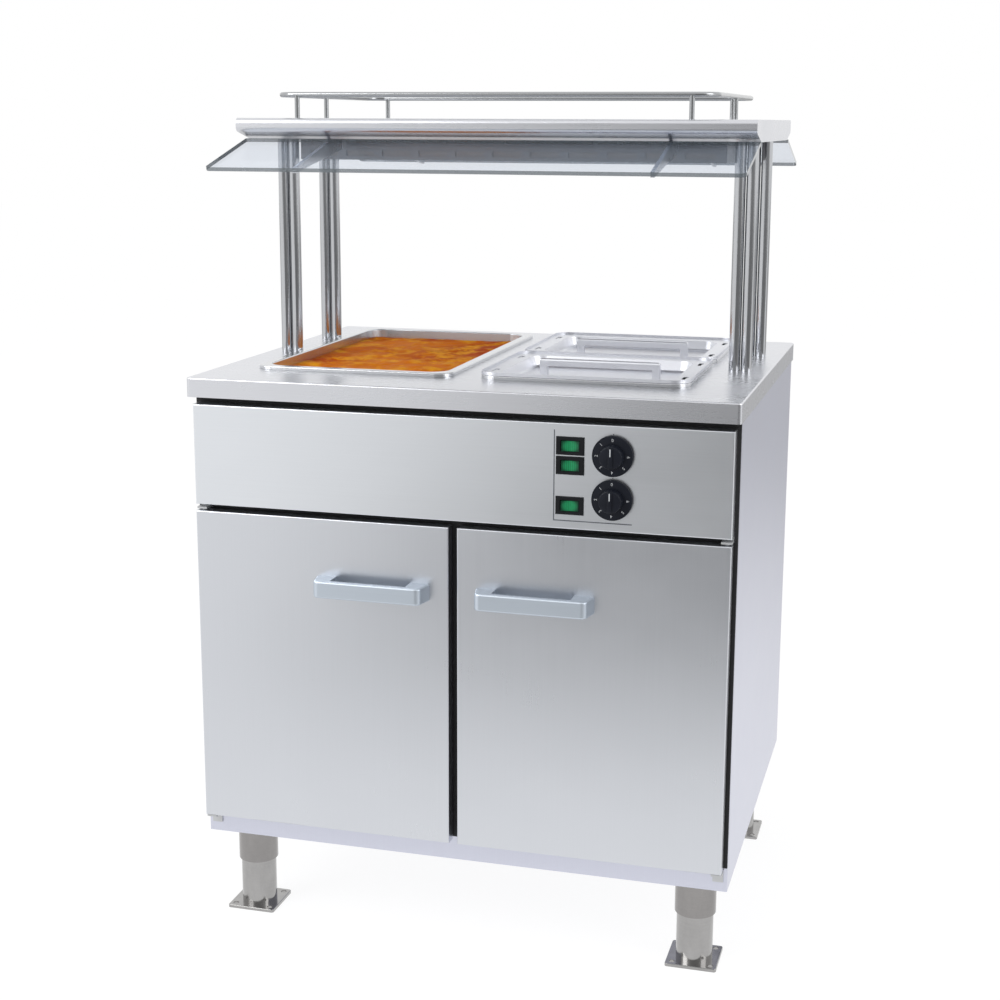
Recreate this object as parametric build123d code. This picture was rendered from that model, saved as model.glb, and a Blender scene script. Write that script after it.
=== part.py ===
"""Bain marie: two hot wells over a heated cupboard, with a glazed overshelf on posts.

Millimetres. The origin is on the floor under the middle of the whole object, +X to the right of
someone who faces the doors, +Y to the back and +Z up.
"""
import os
from math import atan2, cos, degrees, hypot, sin

from build123d import *

# Worktop
WORKTOP_WIDTH = 850.0
WORKTOP_DEPTH = 700.0
WORKTOP_HEIGHT = 895.0
WORKTOP_EDGE = 30.0
WORKTOP_CORNER = 6.0
WORKTOP_ROUND = 2.5
SHEET = 1.5
SKIRT_CLEARANCE = 1.5

# Cabinet
BASE_HEIGHT = 146.0
LIP_HEIGHT = 50.0
SIDE_FLANGE = 36.0
RAIL_DEPTH = 20.0
TOP_RAIL_HEIGHT = 48.0
MIDDLE_RAIL_HEIGHT = 28.0
MULLION_WIDTH = 40.0
DECK_STEP = 1.0
SEAL_THICKNESS = 3.0
SEAL_LAP = 1.0
SEAL_SIDE_GAP = 0.5
VENT_COUNT = 6
VENT_WIDTH = 60.0
VENT_HEIGHT = 6.0
VENT_PITCH = 90.0
VENT_DROP = 90.0
SCREW_HEAD = 9.0
SCREW_HEAD_HEIGHT = 3.0
SCREW_EDGE = 14.0

# Doors and control panel
FACE_SETBACK = 3.0
FACE_WIDTH = 832.0
FACE_ROUND = 2.0
PANEL_TOP_GAP = 11.0
PANEL_HEIGHT = 157.0
PANEL_DOOR_GAP = 10.0
DOOR_CLEARANCE = 38.0
CENTRE_GAP = 13.0
DOOR_THICKNESS = 20.0
DOOR_GAP = 8.5
GASKET_THICKNESS = 5.0
GASKET_WIDTH = 12.0
GASKET_HINGE_INSET = 12.0
GASKET_FREE_INSET = 3.0
GASKET_END_INSET = 8.0
PIVOT_INSET = 8.0
PIVOT_DEPTH = 7.0
PIN_DIAMETER = 6.0
PIN_LENGTH = 15.0
PIN_CLEARANCE = 0.3
PIVOT_BLOCK_HEIGHT = 18.0
PIVOT_BLOCK_WIDTH = 14.0
BRACKET_THICKNESS = 3.0
BRACKET_DOOR_GAP = 2.0
BRACKET_WIDTH = 16.0
BRACKET_TAB = 20.0
BRACKET_CLEARANCE = 0.5
HANDLE_LENGTH = 168.0
HANDLE_FLARE = 7.0
HANDLE_HEIGHT = 26.0
HANDLE_STANDOFF = 33.0
HANDLE_GRIP = 9.0
HANDLE_END = 24.0
HANDLE_CORNER = 9.0
HANDLE_EDGE = 3.0
HANDLE_FREE_INSET = 120.5
HANDLE_DROP = 77.0

# Switches and dials
SWITCH_SIDE_INSET = 237.5
SWITCH_DROPS = (33.0, 62.0, 121.5)
SWITCH_WIDTH = 42.0
SWITCH_HEIGHT = 27.0
SWITCH_BEZEL = 2.0
SWITCH_ROUND = 1.0
SWITCH_BODY_WIDTH = 36.0
SWITCH_BODY_HEIGHT = 21.0
SWITCH_BODY_DEPTH = 26.0
SWITCH_POCKET_DEPTH = 12.0
ROCKER_WIDTH = 26.0
ROCKER_HEIGHT = 15.0
ROCKER_CLEARANCE = 1.2
ROCKER_PIVOT = 4.0
ROCKER_RISE = 8.0
ROCKER_DISH = 2.0
ROCKER_TILT = 6.0
ROCKER_PIN = 3.0
ROCKER_PIN_CLEARANCE = 0.08
DIAL_SIDE_INSET = 174.0
DIAL_DROPS = (44.0, 108.5)
DIAL_DIAMETER = 60.0
DIAL_SKIRT = 5.0
DIAL_GAP = 1.5
DIAL_GRIP = 36.0
DIAL_GRIP_HEIGHT = 14.0
DIAL_BAR = 8.0
DIAL_BAR_HEIGHT = 3.0
SHAFT_DIAMETER = 6.0
SHAFT_REACH = 20.0
SHAFT_CLEARANCE = 0.3
SHAFT_HOLE_CLEARANCE = 1.5
THERMOSTAT_DIAMETER = 46.0
THERMOSTAT_DEPTH = 32.0
TERMINAL_SIDE_INSET = 170.5
TERMINAL_SIZE = (130.0, 60.0, 80.0)
TERMINAL_SETBACK = 10.0
TERMINAL_WALL = 2.5

# Wells, in standard full-size pan openings, behind and beside the middle of the worktop
SERVERY_SHIFT = 28.0
WELL_SHIFT = -15.0
WELL_SPACING = 367.0
PAN_LENGTH = 530.0
PAN_WIDTH = 325.0
HALF_PAN_LENGTH = 265.0
RIM_SEAT = 11.0
CUT_CORNER = 14.0
WELL_DEPTH = 180.0
WELL_FLANGE = 10.0
ELEMENT_DIAMETER = 8.5
ELEMENT_GAP = 0.3
ELEMENT_SPAN_X = 200.0
ELEMENT_SPAN_Y = 380.0
ELEMENT_RETURN = 40.0
ELEMENT_BEND = 28.0

# Pans, food and lids
RIM_HEIGHT = 6.0
RIM_CORNER = 26.0
PAN_SHEET = 1.0
PAN_CLEARANCE = 0.5
REST_GAP = 0.2
PAN_WALL_INSET = 14.5
PAN_CORNER = 30.0
PAN_TAPER = 4.0
PAN_BOTTOM_ROUND = 12.0
RIM_ROUND = 2.0
FULL_PAN_DEPTH = 65.0
HALF_PAN_DEPTH = 100.0
FOOD_DROP = 14.0
FOOD_CLEARANCE = 0.3
LID_EDGE = 5.0
LID_BORDER_X = 27.0
LID_BORDER_Y = 28.0
LID_SINK = 18.0
LID_TAPER = 20.0
LID_CORNER = 24.0
LID_BOTTOM_ROUND = 7.0
LID_SLOT_LENGTH = 30.0
LID_SLOT_WIDTH = 8.0
LID_SLOT_INSET = 14.0
LID_SLOT_END = 56.0
LID_HANDLE_LENGTH = 192.0
LID_HANDLE_DEPTH = 11.0
LID_HANDLE_HEIGHT = 12.0
LID_HANDLE_LEG = 12.0
LID_HANDLE_GAP = 16.0
LID_HANDLE_ROUND = 4.0

# Cupboard fittings
CUPBOARD_SHELF_HEIGHT = 262.0
CUPBOARD_SHELF_EDGE = 20.0
CUPBOARD_SHELF_SETBACK = 35.0
CUPBOARD_SHELF_BACK_GAP = 109.0
HEATER_SIZE = (500.0, 20.0, 200.0)
HEATER_LIFT = 28.0
HEATER_SLOT_COUNT = 9
HEATER_SLOT_WIDTH = 8.0
HEATER_SLOT_HEIGHT = 140.0
HEATER_SLOT_PITCH = 50.0
DRAIN_DIAMETER = 27.0
DRAIN_WALL = 2.5
DRAIN_INSET_X = 40.0
DRAIN_INSET_Y = 25.0
DRAIN_DROP = 26.0
HOSE_TAIL_LENGTH = 45.0
HOSE_TAIL_DIAMETER = 25.0
DRAIN_HOLE_CLEARANCE = 1.5
VALVE_DIAMETER = 40.0
VALVE_LENGTH = 60.0
VALVE_HEIGHT = 380.0
VALVE_STEM = 12.0
VALVE_STEM_LENGTH = 14.0
LEVER_LENGTH = 90.0
LEVER_WIDTH = 18.0
LEVER_THICKNESS = 4.0
LEVER_GAP = 0.4
GLAND_SIDE_INSET = 90.5
GLAND_LIFT = 60.0
GLAND_DIAMETER = 26.0
GLAND_BORE = 13.0
GLAND_THREAD = 20.0
GLAND_OUTSIDE = 24.0
GLAND_INSIDE = 12.0
GLAND_FLANGE = 5.0
GLAND_CLEARANCE = 0.3

# Legs and feet
LEG_SIDE_INSET = 56.0
LEG_FRONT_INSET = 62.5
LEG_BACK_INSET = 91.0
LEG_DIAMETER = 64.0
LEG_WALL = 2.0
LEG_LENGTH = 65.0
LEG_CAP = 4.0
FOOT_DIAMETER = 57.0
FOOT_WALL = 2.5
FOOT_HEADROOM = 6.0
FOOT_FLANGE = 80.0
FOOT_FLANGE_THICKNESS = 5.0
FOOT_FLANGE_CORNER = 4.0
FOOT_FLANGE_ROUND = 1.0
FOOT_HOLE = 9.0
FOOT_HOLE_SPACING = 60.0

# Posts and overshelf
SHELF_SHIFT = 60.0
POST_DIAMETER = 18.0
POST_WALL = 2.0
POST_GAP = 0.8
POST_INSET = 31.5
POST_SPACING = 184.0
POST_PLATE_X = 38.0
POST_PLATE_Y = 60.0
POST_PLATE_THICKNESS = 4.0
SPIGOT_LENGTH = 30.0
SPIGOT_CLEARANCE = 0.3
SHELF_HEIGHT = 1284.0
SHELF_WIDTH = 822.0
SHELF_DEPTH = 462.0
SHELF_THICKNESS = 33.0
SHELF_NOSE = 20.0
SHELF_NOSE_ROUND = 8.0
SHELF_UNDERCUT = 55.0
SHELF_MOUTH_MARGIN = 12.0
LAMP_BOX_SIDE_INSET = 60.0
LAMP_BOX_DEPTH = 216.0
LAMP_BOX_HEIGHT = 33.0
LAMP_SLOT_COUNT = 11
LAMP_SLOT_PITCH = 62.0
LAMP_SLOT_LENGTH = 48.0
LAMP_SLOT_HEIGHT = 9.0
LAMP_SLOT_LIFT = 6.0
LAMP_DIAMETER = 12.0
LAMP_END_GAP = 50.0
LAMP_CAP = 18.0
LAMP_CAP_LENGTH = 24.0
LAMP_SPACING = 90.0
LAMP_DROP = 14.0
GUARD_WIRE = 3.0
GUARD_COUNT = 18
GUARD_CROSS_BARS = 3

# Glass guards and gallery
GLASS_SIDE_REACH = 1.0
GLASS_THICKNESS = 6.0
GLASS_CORNER = 8.0
GLASS_TOP_REACH = 190.0
GLASS_REACH = 348.0
GLASS_TOP_DROP = 32.0
GLASS_DROP = 74.0
ARM_SIDE_INSET = 136.0
ARM_THICKNESS = 6.0
ARM_HEIGHT = 16.0
ARM_GAP = 0.2
ARM_ROOT = 50.0
ARM_TIP_INSET = 24.0
GALLERY_DIAMETER = 8.0
GALLERY_HEIGHT = 36.0
GALLERY_SIDE_INSET = 64.0
GALLERY_EDGE_INSET = 15.0
GALLERY_CORNER = 30.0
GALLERY_POST_INSET = 35.0

# Faces and levels that several pieces share
X_SIDE = WORKTOP_WIDTH / 2 - SHEET - SKIRT_CLEARANCE
X_INNER = X_SIDE - SHEET
X_OPENING = X_SIDE - SIDE_FLANGE
X_FACE = FACE_WIDTH / 2
WORKTOP_Y = (WORKTOP_DEPTH / 2 - FACE_SETBACK + HANDLE_STANDOFF - SHELF_SHIFT - GLASS_REACH) / 2
SERVERY_Y = WORKTOP_Y + SERVERY_SHIFT
SHELF_Y = WORKTOP_Y + SHELF_SHIFT
Y_FACE = WORKTOP_Y - WORKTOP_DEPTH / 2 + FACE_SETBACK
Y_DOOR_BACK = Y_FACE + DOOR_THICKNESS
Y_CARCASS = Y_DOOR_BACK + DOOR_GAP
Y_SEAL = Y_CARCASS - SEAL_THICKNESS
Y_RAIL_BACK = Y_CARCASS + RAIL_DEPTH
Y_BACK = WORKTOP_Y + WORKTOP_DEPTH / 2 - SHEET - SKIRT_CLEARANCE
Y_BACK_INNER = Y_BACK - SHEET
Z_TOP = WORKTOP_HEIGHT
Z_UNDER = Z_TOP - SHEET
Z_FLOOR = BASE_HEIGHT + SHEET
Z_LIP = BASE_HEIGHT + LIP_HEIGHT
Z_PANEL_TOP = Z_TOP - WORKTOP_EDGE - PANEL_TOP_GAP
Z_PANEL_BOTTOM = Z_PANEL_TOP - PANEL_HEIGHT
Z_DOOR_TOP = Z_PANEL_BOTTOM - PANEL_DOOR_GAP
Z_DOOR_BOTTOM = BASE_HEIGHT + DOOR_CLEARANCE
Z_MIDDLE_RAIL = (Z_PANEL_BOTTOM + Z_DOOR_TOP - MIDDLE_RAIL_HEIGHT) / 2
Z_TOP_RAIL = Z_UNDER - TOP_RAIL_HEIGHT
Z_DECK = Z_MIDDLE_RAIL + MIDDLE_RAIL_HEIGHT / 2 + DECK_STEP
Z_WELL = Z_UNDER - WELL_DEPTH
Z_RIM = Z_TOP + RIM_HEIGHT
Z_LID = Z_RIM + REST_GAP
Z_SHELF_UNDER = SHELF_HEIGHT - SHELF_THICKNESS
Z_LAMP_BOX = Z_SHELF_UNDER - LAMP_BOX_HEIGHT
Z_CUPBOARD_SHELF = Z_FLOOR + CUPBOARD_SHELF_HEIGHT
SWITCH_X = X_FACE - SWITCH_SIDE_INSET
DIAL_X = X_FACE - DIAL_SIDE_INSET
HANDLE_X = CENTRE_GAP / 2 + HANDLE_FREE_INSET
GLAND_X = GLAND_SIDE_INSET - X_INNER
TERMINAL_X = TERMINAL_SIDE_INSET - X_INNER
X_PIVOT = X_FACE - PIVOT_INSET
Y_PIVOT = Y_DOOR_BACK - PIVOT_DEPTH
CUT_WIDTH = PAN_WIDTH - 2 * RIM_SEAT
CUT_LENGTH = PAN_LENGTH - 2 * RIM_SEAT
WELL_XS = (WELL_SHIFT - WELL_SPACING / 2, WELL_SHIFT + WELL_SPACING / 2)
POST_X = SHELF_WIDTH / 2 - POST_INSET
ARM_X = SHELF_WIDTH / 2 - ARM_SIDE_INSET
LAMP_BOX_WIDTH = SHELF_WIDTH - 2 * LAMP_BOX_SIDE_INSET
GALLERY_WIDTH = SHELF_WIDTH - 2 * GALLERY_SIDE_INSET
GALLERY_DEPTH = SHELF_DEPTH - 2 * GALLERY_EDGE_INSET
GALLERY_POST_X = GALLERY_WIDTH / 2 - GALLERY_POST_INSET
GLASS_WIDTH = SHELF_WIDTH + 2 * GLASS_SIDE_REACH
LAMP_LENGTH = LAMP_BOX_WIDTH - 2 * LAMP_END_GAP
POST_YS = (SHELF_Y - POST_SPACING / 2, SHELF_Y + POST_SPACING / 2)
TUBE_OFFSET = (POST_DIAMETER + POST_GAP) / 2
SPIGOT_DIAMETER = POST_DIAMETER - 2 * POST_WALL - 2 * SPIGOT_CLEARANCE
DRAIN_Y = SERVERY_Y + CUT_LENGTH / 2 - DRAIN_INSET_Y
DRAIN_XS = tuple(x + CUT_WIDTH / 2 - DRAIN_INSET_X for x in WELL_XS)
DRAIN_PIPE_X = DRAIN_XS[1]
Z_DRAIN = Z_DECK - DRAIN_DROP
Z_VALVE = Z_FLOOR + VALVE_HEIGHT
LEG_X = X_SIDE - LEG_SIDE_INSET
LEG_YS = (Y_CARCASS + LEG_FRONT_INSET, Y_BACK - LEG_BACK_INSET)
LEG_PLACES = [(x, y) for x in (-LEG_X, LEG_X) for y in LEG_YS]
SIDES = {"left": -1, "right": 1}


def block(x, y, z):
    """A box between a low and a high value along each axis."""
    spans = (x, y, z)
    middle = [(low + high) / 2 for low, high in spans]
    return Pos(*middle) * Box(*[high - low for low, high in spans])


def span(middle, size):
    """Low and high values of a length about its middle."""
    return (middle - size / 2, middle + size / 2)


def within(ends, wall):
    """A span that is shorter by a wall at both ends."""
    return (ends[0] + wall, ends[1] - wall)


def plate(centre, size_x, size_y, corner, low, high):
    """A level plate with rounded corners."""
    outline = Pos(centre[0], centre[1], low) * RectangleRounded(size_x, size_y, corner)
    return extrude(outline, high - low)


def tub(centre, size_x, size_y, corner, top, depth, taper):
    """A solid that narrows downwards from a rounded rectangle."""
    mouth = Plane(origin=(centre[0], centre[1], top), x_dir=(1, 0, 0), z_dir=(0, 0, -1))
    return extrude(mouth * RectangleRounded(size_x, size_y, corner), depth, taper=taper)


def rod(radius, start, end):
    """A round bar from one point to another."""
    along = Vector(*end) - Vector(*start)
    return extrude(Plane(origin=start, z_dir=along) * Circle(radius), along.length)


def pipe(radius, wall, start, end):
    """A tube that is open at both ends."""
    return rod(radius, start, end) - rod(radius - wall, start, end)


def along_x(points, low, high):
    """A solid with a Y-Z outline, between two X values."""
    outline = Plane.YZ.offset(low) * Polygon(*points, align=None)
    return extrude(outline, high - low)


def on_side(shape, side):
    """A piece drawn on the right, mirrored where it belongs on the left."""
    return shape if side > 0 else mirror(shape, about=Plane.YZ)


def folded_front(shape):
    """Rounds the edges of the front face, as a fold in sheet metal does."""
    return fillet(shape.faces().sort_by(Axis.Y)[0].edges(), FACE_ROUND)


def bent_bar(points, radius, bend):
    """A round bar along straight runs with rounded bends."""
    path = FilletPolyline(*points, radius=bend)
    return sweep(Plane(origin=path @ 0, z_dir=path % 0) * Circle(radius), path=path)


def tube_places():
    """Centres of the eight post tubes, in twos."""
    return [(side * POST_X + step, y) for side in SIDES.values() for y in POST_YS
            for step in (-TUBE_OFFSET, TUBE_OFFSET)]


def worktop():
    centre = (0, WORKTOP_Y)
    top = plate(centre, WORKTOP_WIDTH, WORKTOP_DEPTH, WORKTOP_CORNER, Z_TOP - WORKTOP_EDGE, Z_TOP)
    top = fillet(top.faces().sort_by(Axis.Z)[-1].edges(), WORKTOP_ROUND)
    top -= plate(centre, WORKTOP_WIDTH - 2 * SHEET, WORKTOP_DEPTH - 2 * SHEET, WORKTOP_CORNER - SHEET,
                 Z_TOP - WORKTOP_EDGE, Z_UNDER)
    for x in WELL_XS:
        top -= plate((x, SERVERY_Y), CUT_WIDTH, CUT_LENGTH, CUT_CORNER, Z_UNDER, Z_TOP)
    for x, y in tube_places():
        top -= rod(SPIGOT_DIAMETER / 2 + SPIGOT_CLEARANCE, (x, y, Z_UNDER), (x, y, Z_TOP))
    return top


def edge_spans(middle, size):
    """Spans of a tank's rounded end, its straight run and its other end."""
    straight = span(middle, size - 2 * CUT_CORNER)
    whole = span(middle, size + 2 * WELL_FLANGE)
    return (whole[0], straight[0]), straight, (straight[1], whole[1])


def well(x):
    """A tank that is welded up from a floor, four walls and four corners."""
    centre = (x, SERVERY_Y)
    tank = plate(centre, CUT_WIDTH + 2 * SHEET, CUT_LENGTH + 2 * SHEET, CUT_CORNER + SHEET, Z_WELL, Z_UNDER)
    tank += plate(centre, CUT_WIDTH + 2 * WELL_FLANGE, CUT_LENGTH + 2 * WELL_FLANGE,
                  CUT_CORNER + WELL_FLANGE, Z_UNDER - SHEET, Z_UNDER)
    tank -= plate(centre, CUT_WIDTH, CUT_LENGTH, CUT_CORNER, Z_WELL + SHEET, Z_UNDER)
    drain_x = x + CUT_WIDTH / 2 - DRAIN_INSET_X
    floor = (Z_WELL, Z_WELL + SHEET)
    tank -= rod(DRAIN_DIAMETER / 2 - DRAIN_WALL, (drain_x, DRAIN_Y, floor[0]), (drain_x, DRAIN_Y, floor[1]))
    columns = edge_spans(x, CUT_WIDTH)
    rows = edge_spans(SERVERY_Y, CUT_LENGTH)
    pieces = [tank & block((columns[0][0], columns[2][1]), (rows[0][0], rows[2][1]), floor)]
    for column in range(3):
        for row in range(3):
            if (column, row) != (1, 1):
                pieces.append(tank & block(columns[column], rows[row], (floor[1], Z_UNDER)))
    return Compound(children=pieces)


def heating_elements():
    elements = []
    z = Z_WELL - ELEMENT_GAP - ELEMENT_DIAMETER / 2
    front = SERVERY_Y - ELEMENT_SPAN_Y / 2
    back = SERVERY_Y + ELEMENT_SPAN_Y / 2
    step = ELEMENT_SPAN_X / 3
    for x in WELL_XS:
        legs = [x - ELEMENT_SPAN_X / 2 + step * count for count in range(4)]
        route = [(legs[0], front, z), (legs[0], back, z), (legs[1], back, z),
                 (legs[1], front + ELEMENT_RETURN, z), (legs[2], front + ELEMENT_RETURN, z),
                 (legs[2], back, z), (legs[3], back, z), (legs[3], front, z)]
        elements.append(bent_bar(route, ELEMENT_DIAMETER / 2, ELEMENT_BEND))
    return Compound(children=elements)


def side_panel(side):
    panel = block((X_INNER, X_SIDE), (Y_CARCASS, Y_BACK), (Z_FLOOR, Z_UNDER))
    panel += block((X_OPENING, X_SIDE), (Y_CARCASS, Y_CARCASS + SHEET), (Z_FLOOR, Z_UNDER))
    return on_side(panel, side)


def back_panel():
    panel = block((-X_INNER, X_INNER), (Y_BACK_INNER, Y_BACK), (Z_FLOOR, Z_UNDER))
    first = -VENT_PITCH * (VENT_COUNT - 1) / 2
    for count in range(VENT_COUNT):
        x = first + VENT_PITCH * count
        panel -= block(span(x, VENT_WIDTH), (Y_BACK_INNER, Y_BACK),
                       (Z_UNDER - VENT_DROP - VENT_HEIGHT, Z_UNDER - VENT_DROP))
    z = Z_FLOOR + GLAND_LIFT
    bore = GLAND_THREAD / 2 + GLAND_CLEARANCE
    return panel - rod(bore, (GLAND_X, Y_BACK_INNER, z), (GLAND_X, Y_BACK, z))


def back_panel_screws():
    columns = [side * (X_INNER - SCREW_EDGE) for side in SIDES.values()]
    rows = [Z_FLOOR + SCREW_EDGE, (Z_FLOOR + Z_TOP - WORKTOP_EDGE) / 2, Z_TOP - WORKTOP_EDGE - SCREW_EDGE]
    screws = []
    for x in columns:
        for z in rows:
            screws.append(rod(SCREW_HEAD / 2, (x, Y_BACK, z), (x, Y_BACK + SCREW_HEAD_HEIGHT, z)))
    return Compound(children=screws)


def cable_gland():
    z = Z_FLOOR + GLAND_LIFT
    gland = rod(GLAND_THREAD / 2, (GLAND_X, Y_BACK_INNER - GLAND_INSIDE, z), (GLAND_X, Y_BACK, z))
    gland += rod(GLAND_DIAMETER / 2, (GLAND_X, Y_BACK, z), (GLAND_X, Y_BACK + GLAND_OUTSIDE, z))
    nut = Plane(origin=(GLAND_X, Y_BACK_INNER, z), z_dir=(0, -1, 0)) * RegularPolygon(GLAND_DIAMETER / 2, 6)
    gland += extrude(nut, GLAND_FLANGE)
    return gland - rod(GLAND_BORE / 2, (GLAND_X, Y_BACK_INNER - GLAND_INSIDE, z),
                       (GLAND_X, Y_BACK + GLAND_OUTSIDE, z))


def base_tray():
    tray = block((-X_SIDE, X_SIDE), (Y_CARCASS, Y_BACK), (BASE_HEIGHT, Z_FLOOR))
    tray += lip()
    bore = DRAIN_DIAMETER / 2 + DRAIN_HOLE_CLEARANCE
    return tray - rod(bore, (DRAIN_PIPE_X, DRAIN_Y, BASE_HEIGHT), (DRAIN_PIPE_X, DRAIN_Y, Z_FLOOR))


def lip():
    return block((-X_OPENING, X_OPENING), (Y_CARCASS, Y_CARCASS + SHEET), (BASE_HEIGHT, Z_LIP))


def well_deck():
    deck = block((-X_INNER, X_INNER), (Y_RAIL_BACK, Y_BACK_INNER), (Z_DECK, Z_DECK + SHEET))
    bore = DRAIN_DIAMETER / 2 + DRAIN_HOLE_CLEARANCE
    for x in DRAIN_XS:
        deck -= rod(bore, (x, DRAIN_Y, Z_DECK), (x, DRAIN_Y, Z_DECK + SHEET))
    return deck


def front_rail(low, high):
    rail = block((-X_OPENING, X_OPENING), (Y_CARCASS, Y_RAIL_BACK), (low, high))
    inside = (Y_CARCASS + SHEET, Y_RAIL_BACK)
    return rail - block((-X_OPENING, X_OPENING), inside, within((low, high), SHEET))


def front_rails():
    top = front_rail(Z_TOP_RAIL, Z_UNDER)
    middle = front_rail(Z_MIDDLE_RAIL, Z_MIDDLE_RAIL + MIDDLE_RAIL_HEIGHT)
    return Compound(children=[top, middle])


def centre_mullion():
    half = MULLION_WIDTH / 2
    post = block((-half, half), (Y_CARCASS, Y_RAIL_BACK), (Z_FLOOR, Z_MIDDLE_RAIL))
    post -= block((SHEET - half, half - SHEET), (Y_CARCASS + SHEET, Y_RAIL_BACK), (Z_FLOOR, Z_MIDDLE_RAIL))
    return post - lip()


def front_seal():
    """Black strip round the door openings and the control panel, with room for the hinge tabs."""
    depth = (Y_SEAL, Y_CARCASS)
    outer = X_SIDE - SEAL_SIDE_GAP
    seal = block((-outer, outer), depth, (Z_DOOR_BOTTOM + SEAL_LAP, Z_TOP - WORKTOP_EDGE))
    top_rail_edge = Z_TOP_RAIL + SEAL_LAP
    rail_top = Z_MIDDLE_RAIL + MIDDLE_RAIL_HEIGHT
    half = MULLION_WIDTH / 2 - SEAL_LAP
    seal -= block((-X_OPENING, X_OPENING), depth, (rail_top - SEAL_LAP, top_rail_edge))
    for side in SIDES.values():
        seal -= on_side(block((half, X_OPENING), depth, (Z_LIP - SEAL_LAP, Z_MIDDLE_RAIL + SEAL_LAP)), side)
        tab_end = Z_DOOR_TOP + BRACKET_DOOR_GAP + BRACKET_TAB
        room = block(span(X_PIVOT, BRACKET_WIDTH + 2 * BRACKET_CLEARANCE), depth,
                     (Z_DOOR_TOP, tab_end + BRACKET_CLEARANCE))
        seal -= on_side(room, side)
    return seal


def switch_zs():
    return [Z_PANEL_TOP - drop for drop in SWITCH_DROPS]


def dial_zs():
    return [Z_PANEL_TOP - drop for drop in DIAL_DROPS]


def control_panel():
    panel = folded_front(block((-X_FACE, X_FACE), (Y_FACE, Y_SEAL), (Z_PANEL_BOTTOM, Z_PANEL_TOP)))
    panel -= block((SHEET - X_FACE, X_FACE - SHEET), (Y_FACE + SHEET, Y_SEAL),
                   (Z_PANEL_BOTTOM + SHEET, Z_PANEL_TOP - SHEET))
    face = (Y_FACE, Y_FACE + SHEET)
    for z in switch_zs():
        panel -= block(span(SWITCH_X, SWITCH_BODY_WIDTH), face, span(z, SWITCH_BODY_HEIGHT))
    for z in dial_zs():
        panel -= rod(SHAFT_DIAMETER / 2 + SHAFT_HOLE_CLEARANCE, (DIAL_X, face[0], z), (DIAL_X, face[1], z))
    return panel


def rocker_pin(z, radius):
    """A pivot through a rocker and the walls of its housing."""
    low, high = span(z, SWITCH_BODY_HEIGHT)
    return rod(radius, (SWITCH_X, Y_FACE + ROCKER_PIVOT, low), (SWITCH_X, Y_FACE + ROCKER_PIVOT, high))


def switch_housings():
    housings = []
    pocket_x = ROCKER_WIDTH / 2 + ROCKER_CLEARANCE
    pocket_z = ROCKER_HEIGHT / 2 + ROCKER_CLEARANCE / 2
    for z in switch_zs():
        house = block(span(SWITCH_X, SWITCH_WIDTH), (Y_FACE - SWITCH_BEZEL, Y_FACE), span(z, SWITCH_HEIGHT))
        house = fillet(house.faces().sort_by(Axis.Y)[0].edges(), SWITCH_ROUND)
        house += block(span(SWITCH_X, SWITCH_BODY_WIDTH), (Y_FACE, Y_FACE + SWITCH_BODY_DEPTH),
                       span(z, SWITCH_BODY_HEIGHT))
        house -= block((SWITCH_X - pocket_x, SWITCH_X + pocket_x),
                       (Y_FACE - SWITCH_BEZEL, Y_FACE + SWITCH_POCKET_DEPTH), (z - pocket_z, z + pocket_z))
        house -= rocker_pin(z, ROCKER_PIN / 2 + ROCKER_PIN_CLEARANCE)
        housings.append(house)
    return Compound(children=housings)


def rocker(z):
    """A dished paddle on its pivot, tilted to its on side."""
    half = ROCKER_WIDTH / 2
    outline = Polygon((-half, -ROCKER_RISE), (0, ROCKER_DISH - ROCKER_RISE), (half, -ROCKER_RISE),
                      (half - ROCKER_DISH, ROCKER_DISH), (ROCKER_DISH - half, ROCKER_DISH), align=None)
    paddle = extrude(Pos(0, 0, -ROCKER_HEIGHT / 2) * outline, ROCKER_HEIGHT)
    paddle = Pos(SWITCH_X, Y_FACE + ROCKER_PIVOT, z) * Rot(0, 0, ROCKER_TILT) * paddle
    return paddle + rocker_pin(z, ROCKER_PIN / 2)


def thermostats():
    bodies = []
    start = Y_FACE + SHEET
    for z in dial_zs():
        body = rod(THERMOSTAT_DIAMETER / 2, (DIAL_X, start, z), (DIAL_X, start + THERMOSTAT_DEPTH, z))
        bore = SHAFT_DIAMETER / 2 + SHAFT_CLEARANCE
        bottom = start + SHAFT_REACH + SHAFT_CLEARANCE
        bodies.append(body - rod(bore, (DIAL_X, start, z), (DIAL_X, bottom, z)))
    return Compound(children=bodies)


def dial(z):
    """A skirted knob on its shaft, with a raised bar to grip."""
    back = Y_FACE - DIAL_GAP
    front = back - DIAL_SKIRT
    nose = front - DIAL_GRIP_HEIGHT
    knob = rod(DIAL_DIAMETER / 2, (DIAL_X, back, z), (DIAL_X, front, z))
    knob += rod(DIAL_GRIP / 2, (DIAL_X, front, z), (DIAL_X, nose, z))
    knob += block(span(DIAL_X, DIAL_BAR), (nose - DIAL_BAR_HEIGHT, nose),
                  (z - DIAL_GRIP / 2 + DIAL_BAR_HEIGHT, z + DIAL_GRIP / 2 - DIAL_BAR_HEIGHT))
    return knob + rod(SHAFT_DIAMETER / 2, (DIAL_X, back, z), (DIAL_X, Y_FACE + SHEET + SHAFT_REACH, z))


def terminal_box():
    """An enclosure that stands open side down on the deck."""
    width, depth, height = TERMINAL_SIZE
    front = Y_RAIL_BACK + TERMINAL_SETBACK
    floor = Z_DECK + SHEET
    x = span(TERMINAL_X, width)
    y = (front, front + depth)
    lid_under = floor + height - TERMINAL_WALL
    box = block(x, y, (floor, floor + height))
    return box - block(within(x, TERMINAL_WALL), within(y, TERMINAL_WALL), (floor, lid_under))


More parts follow.
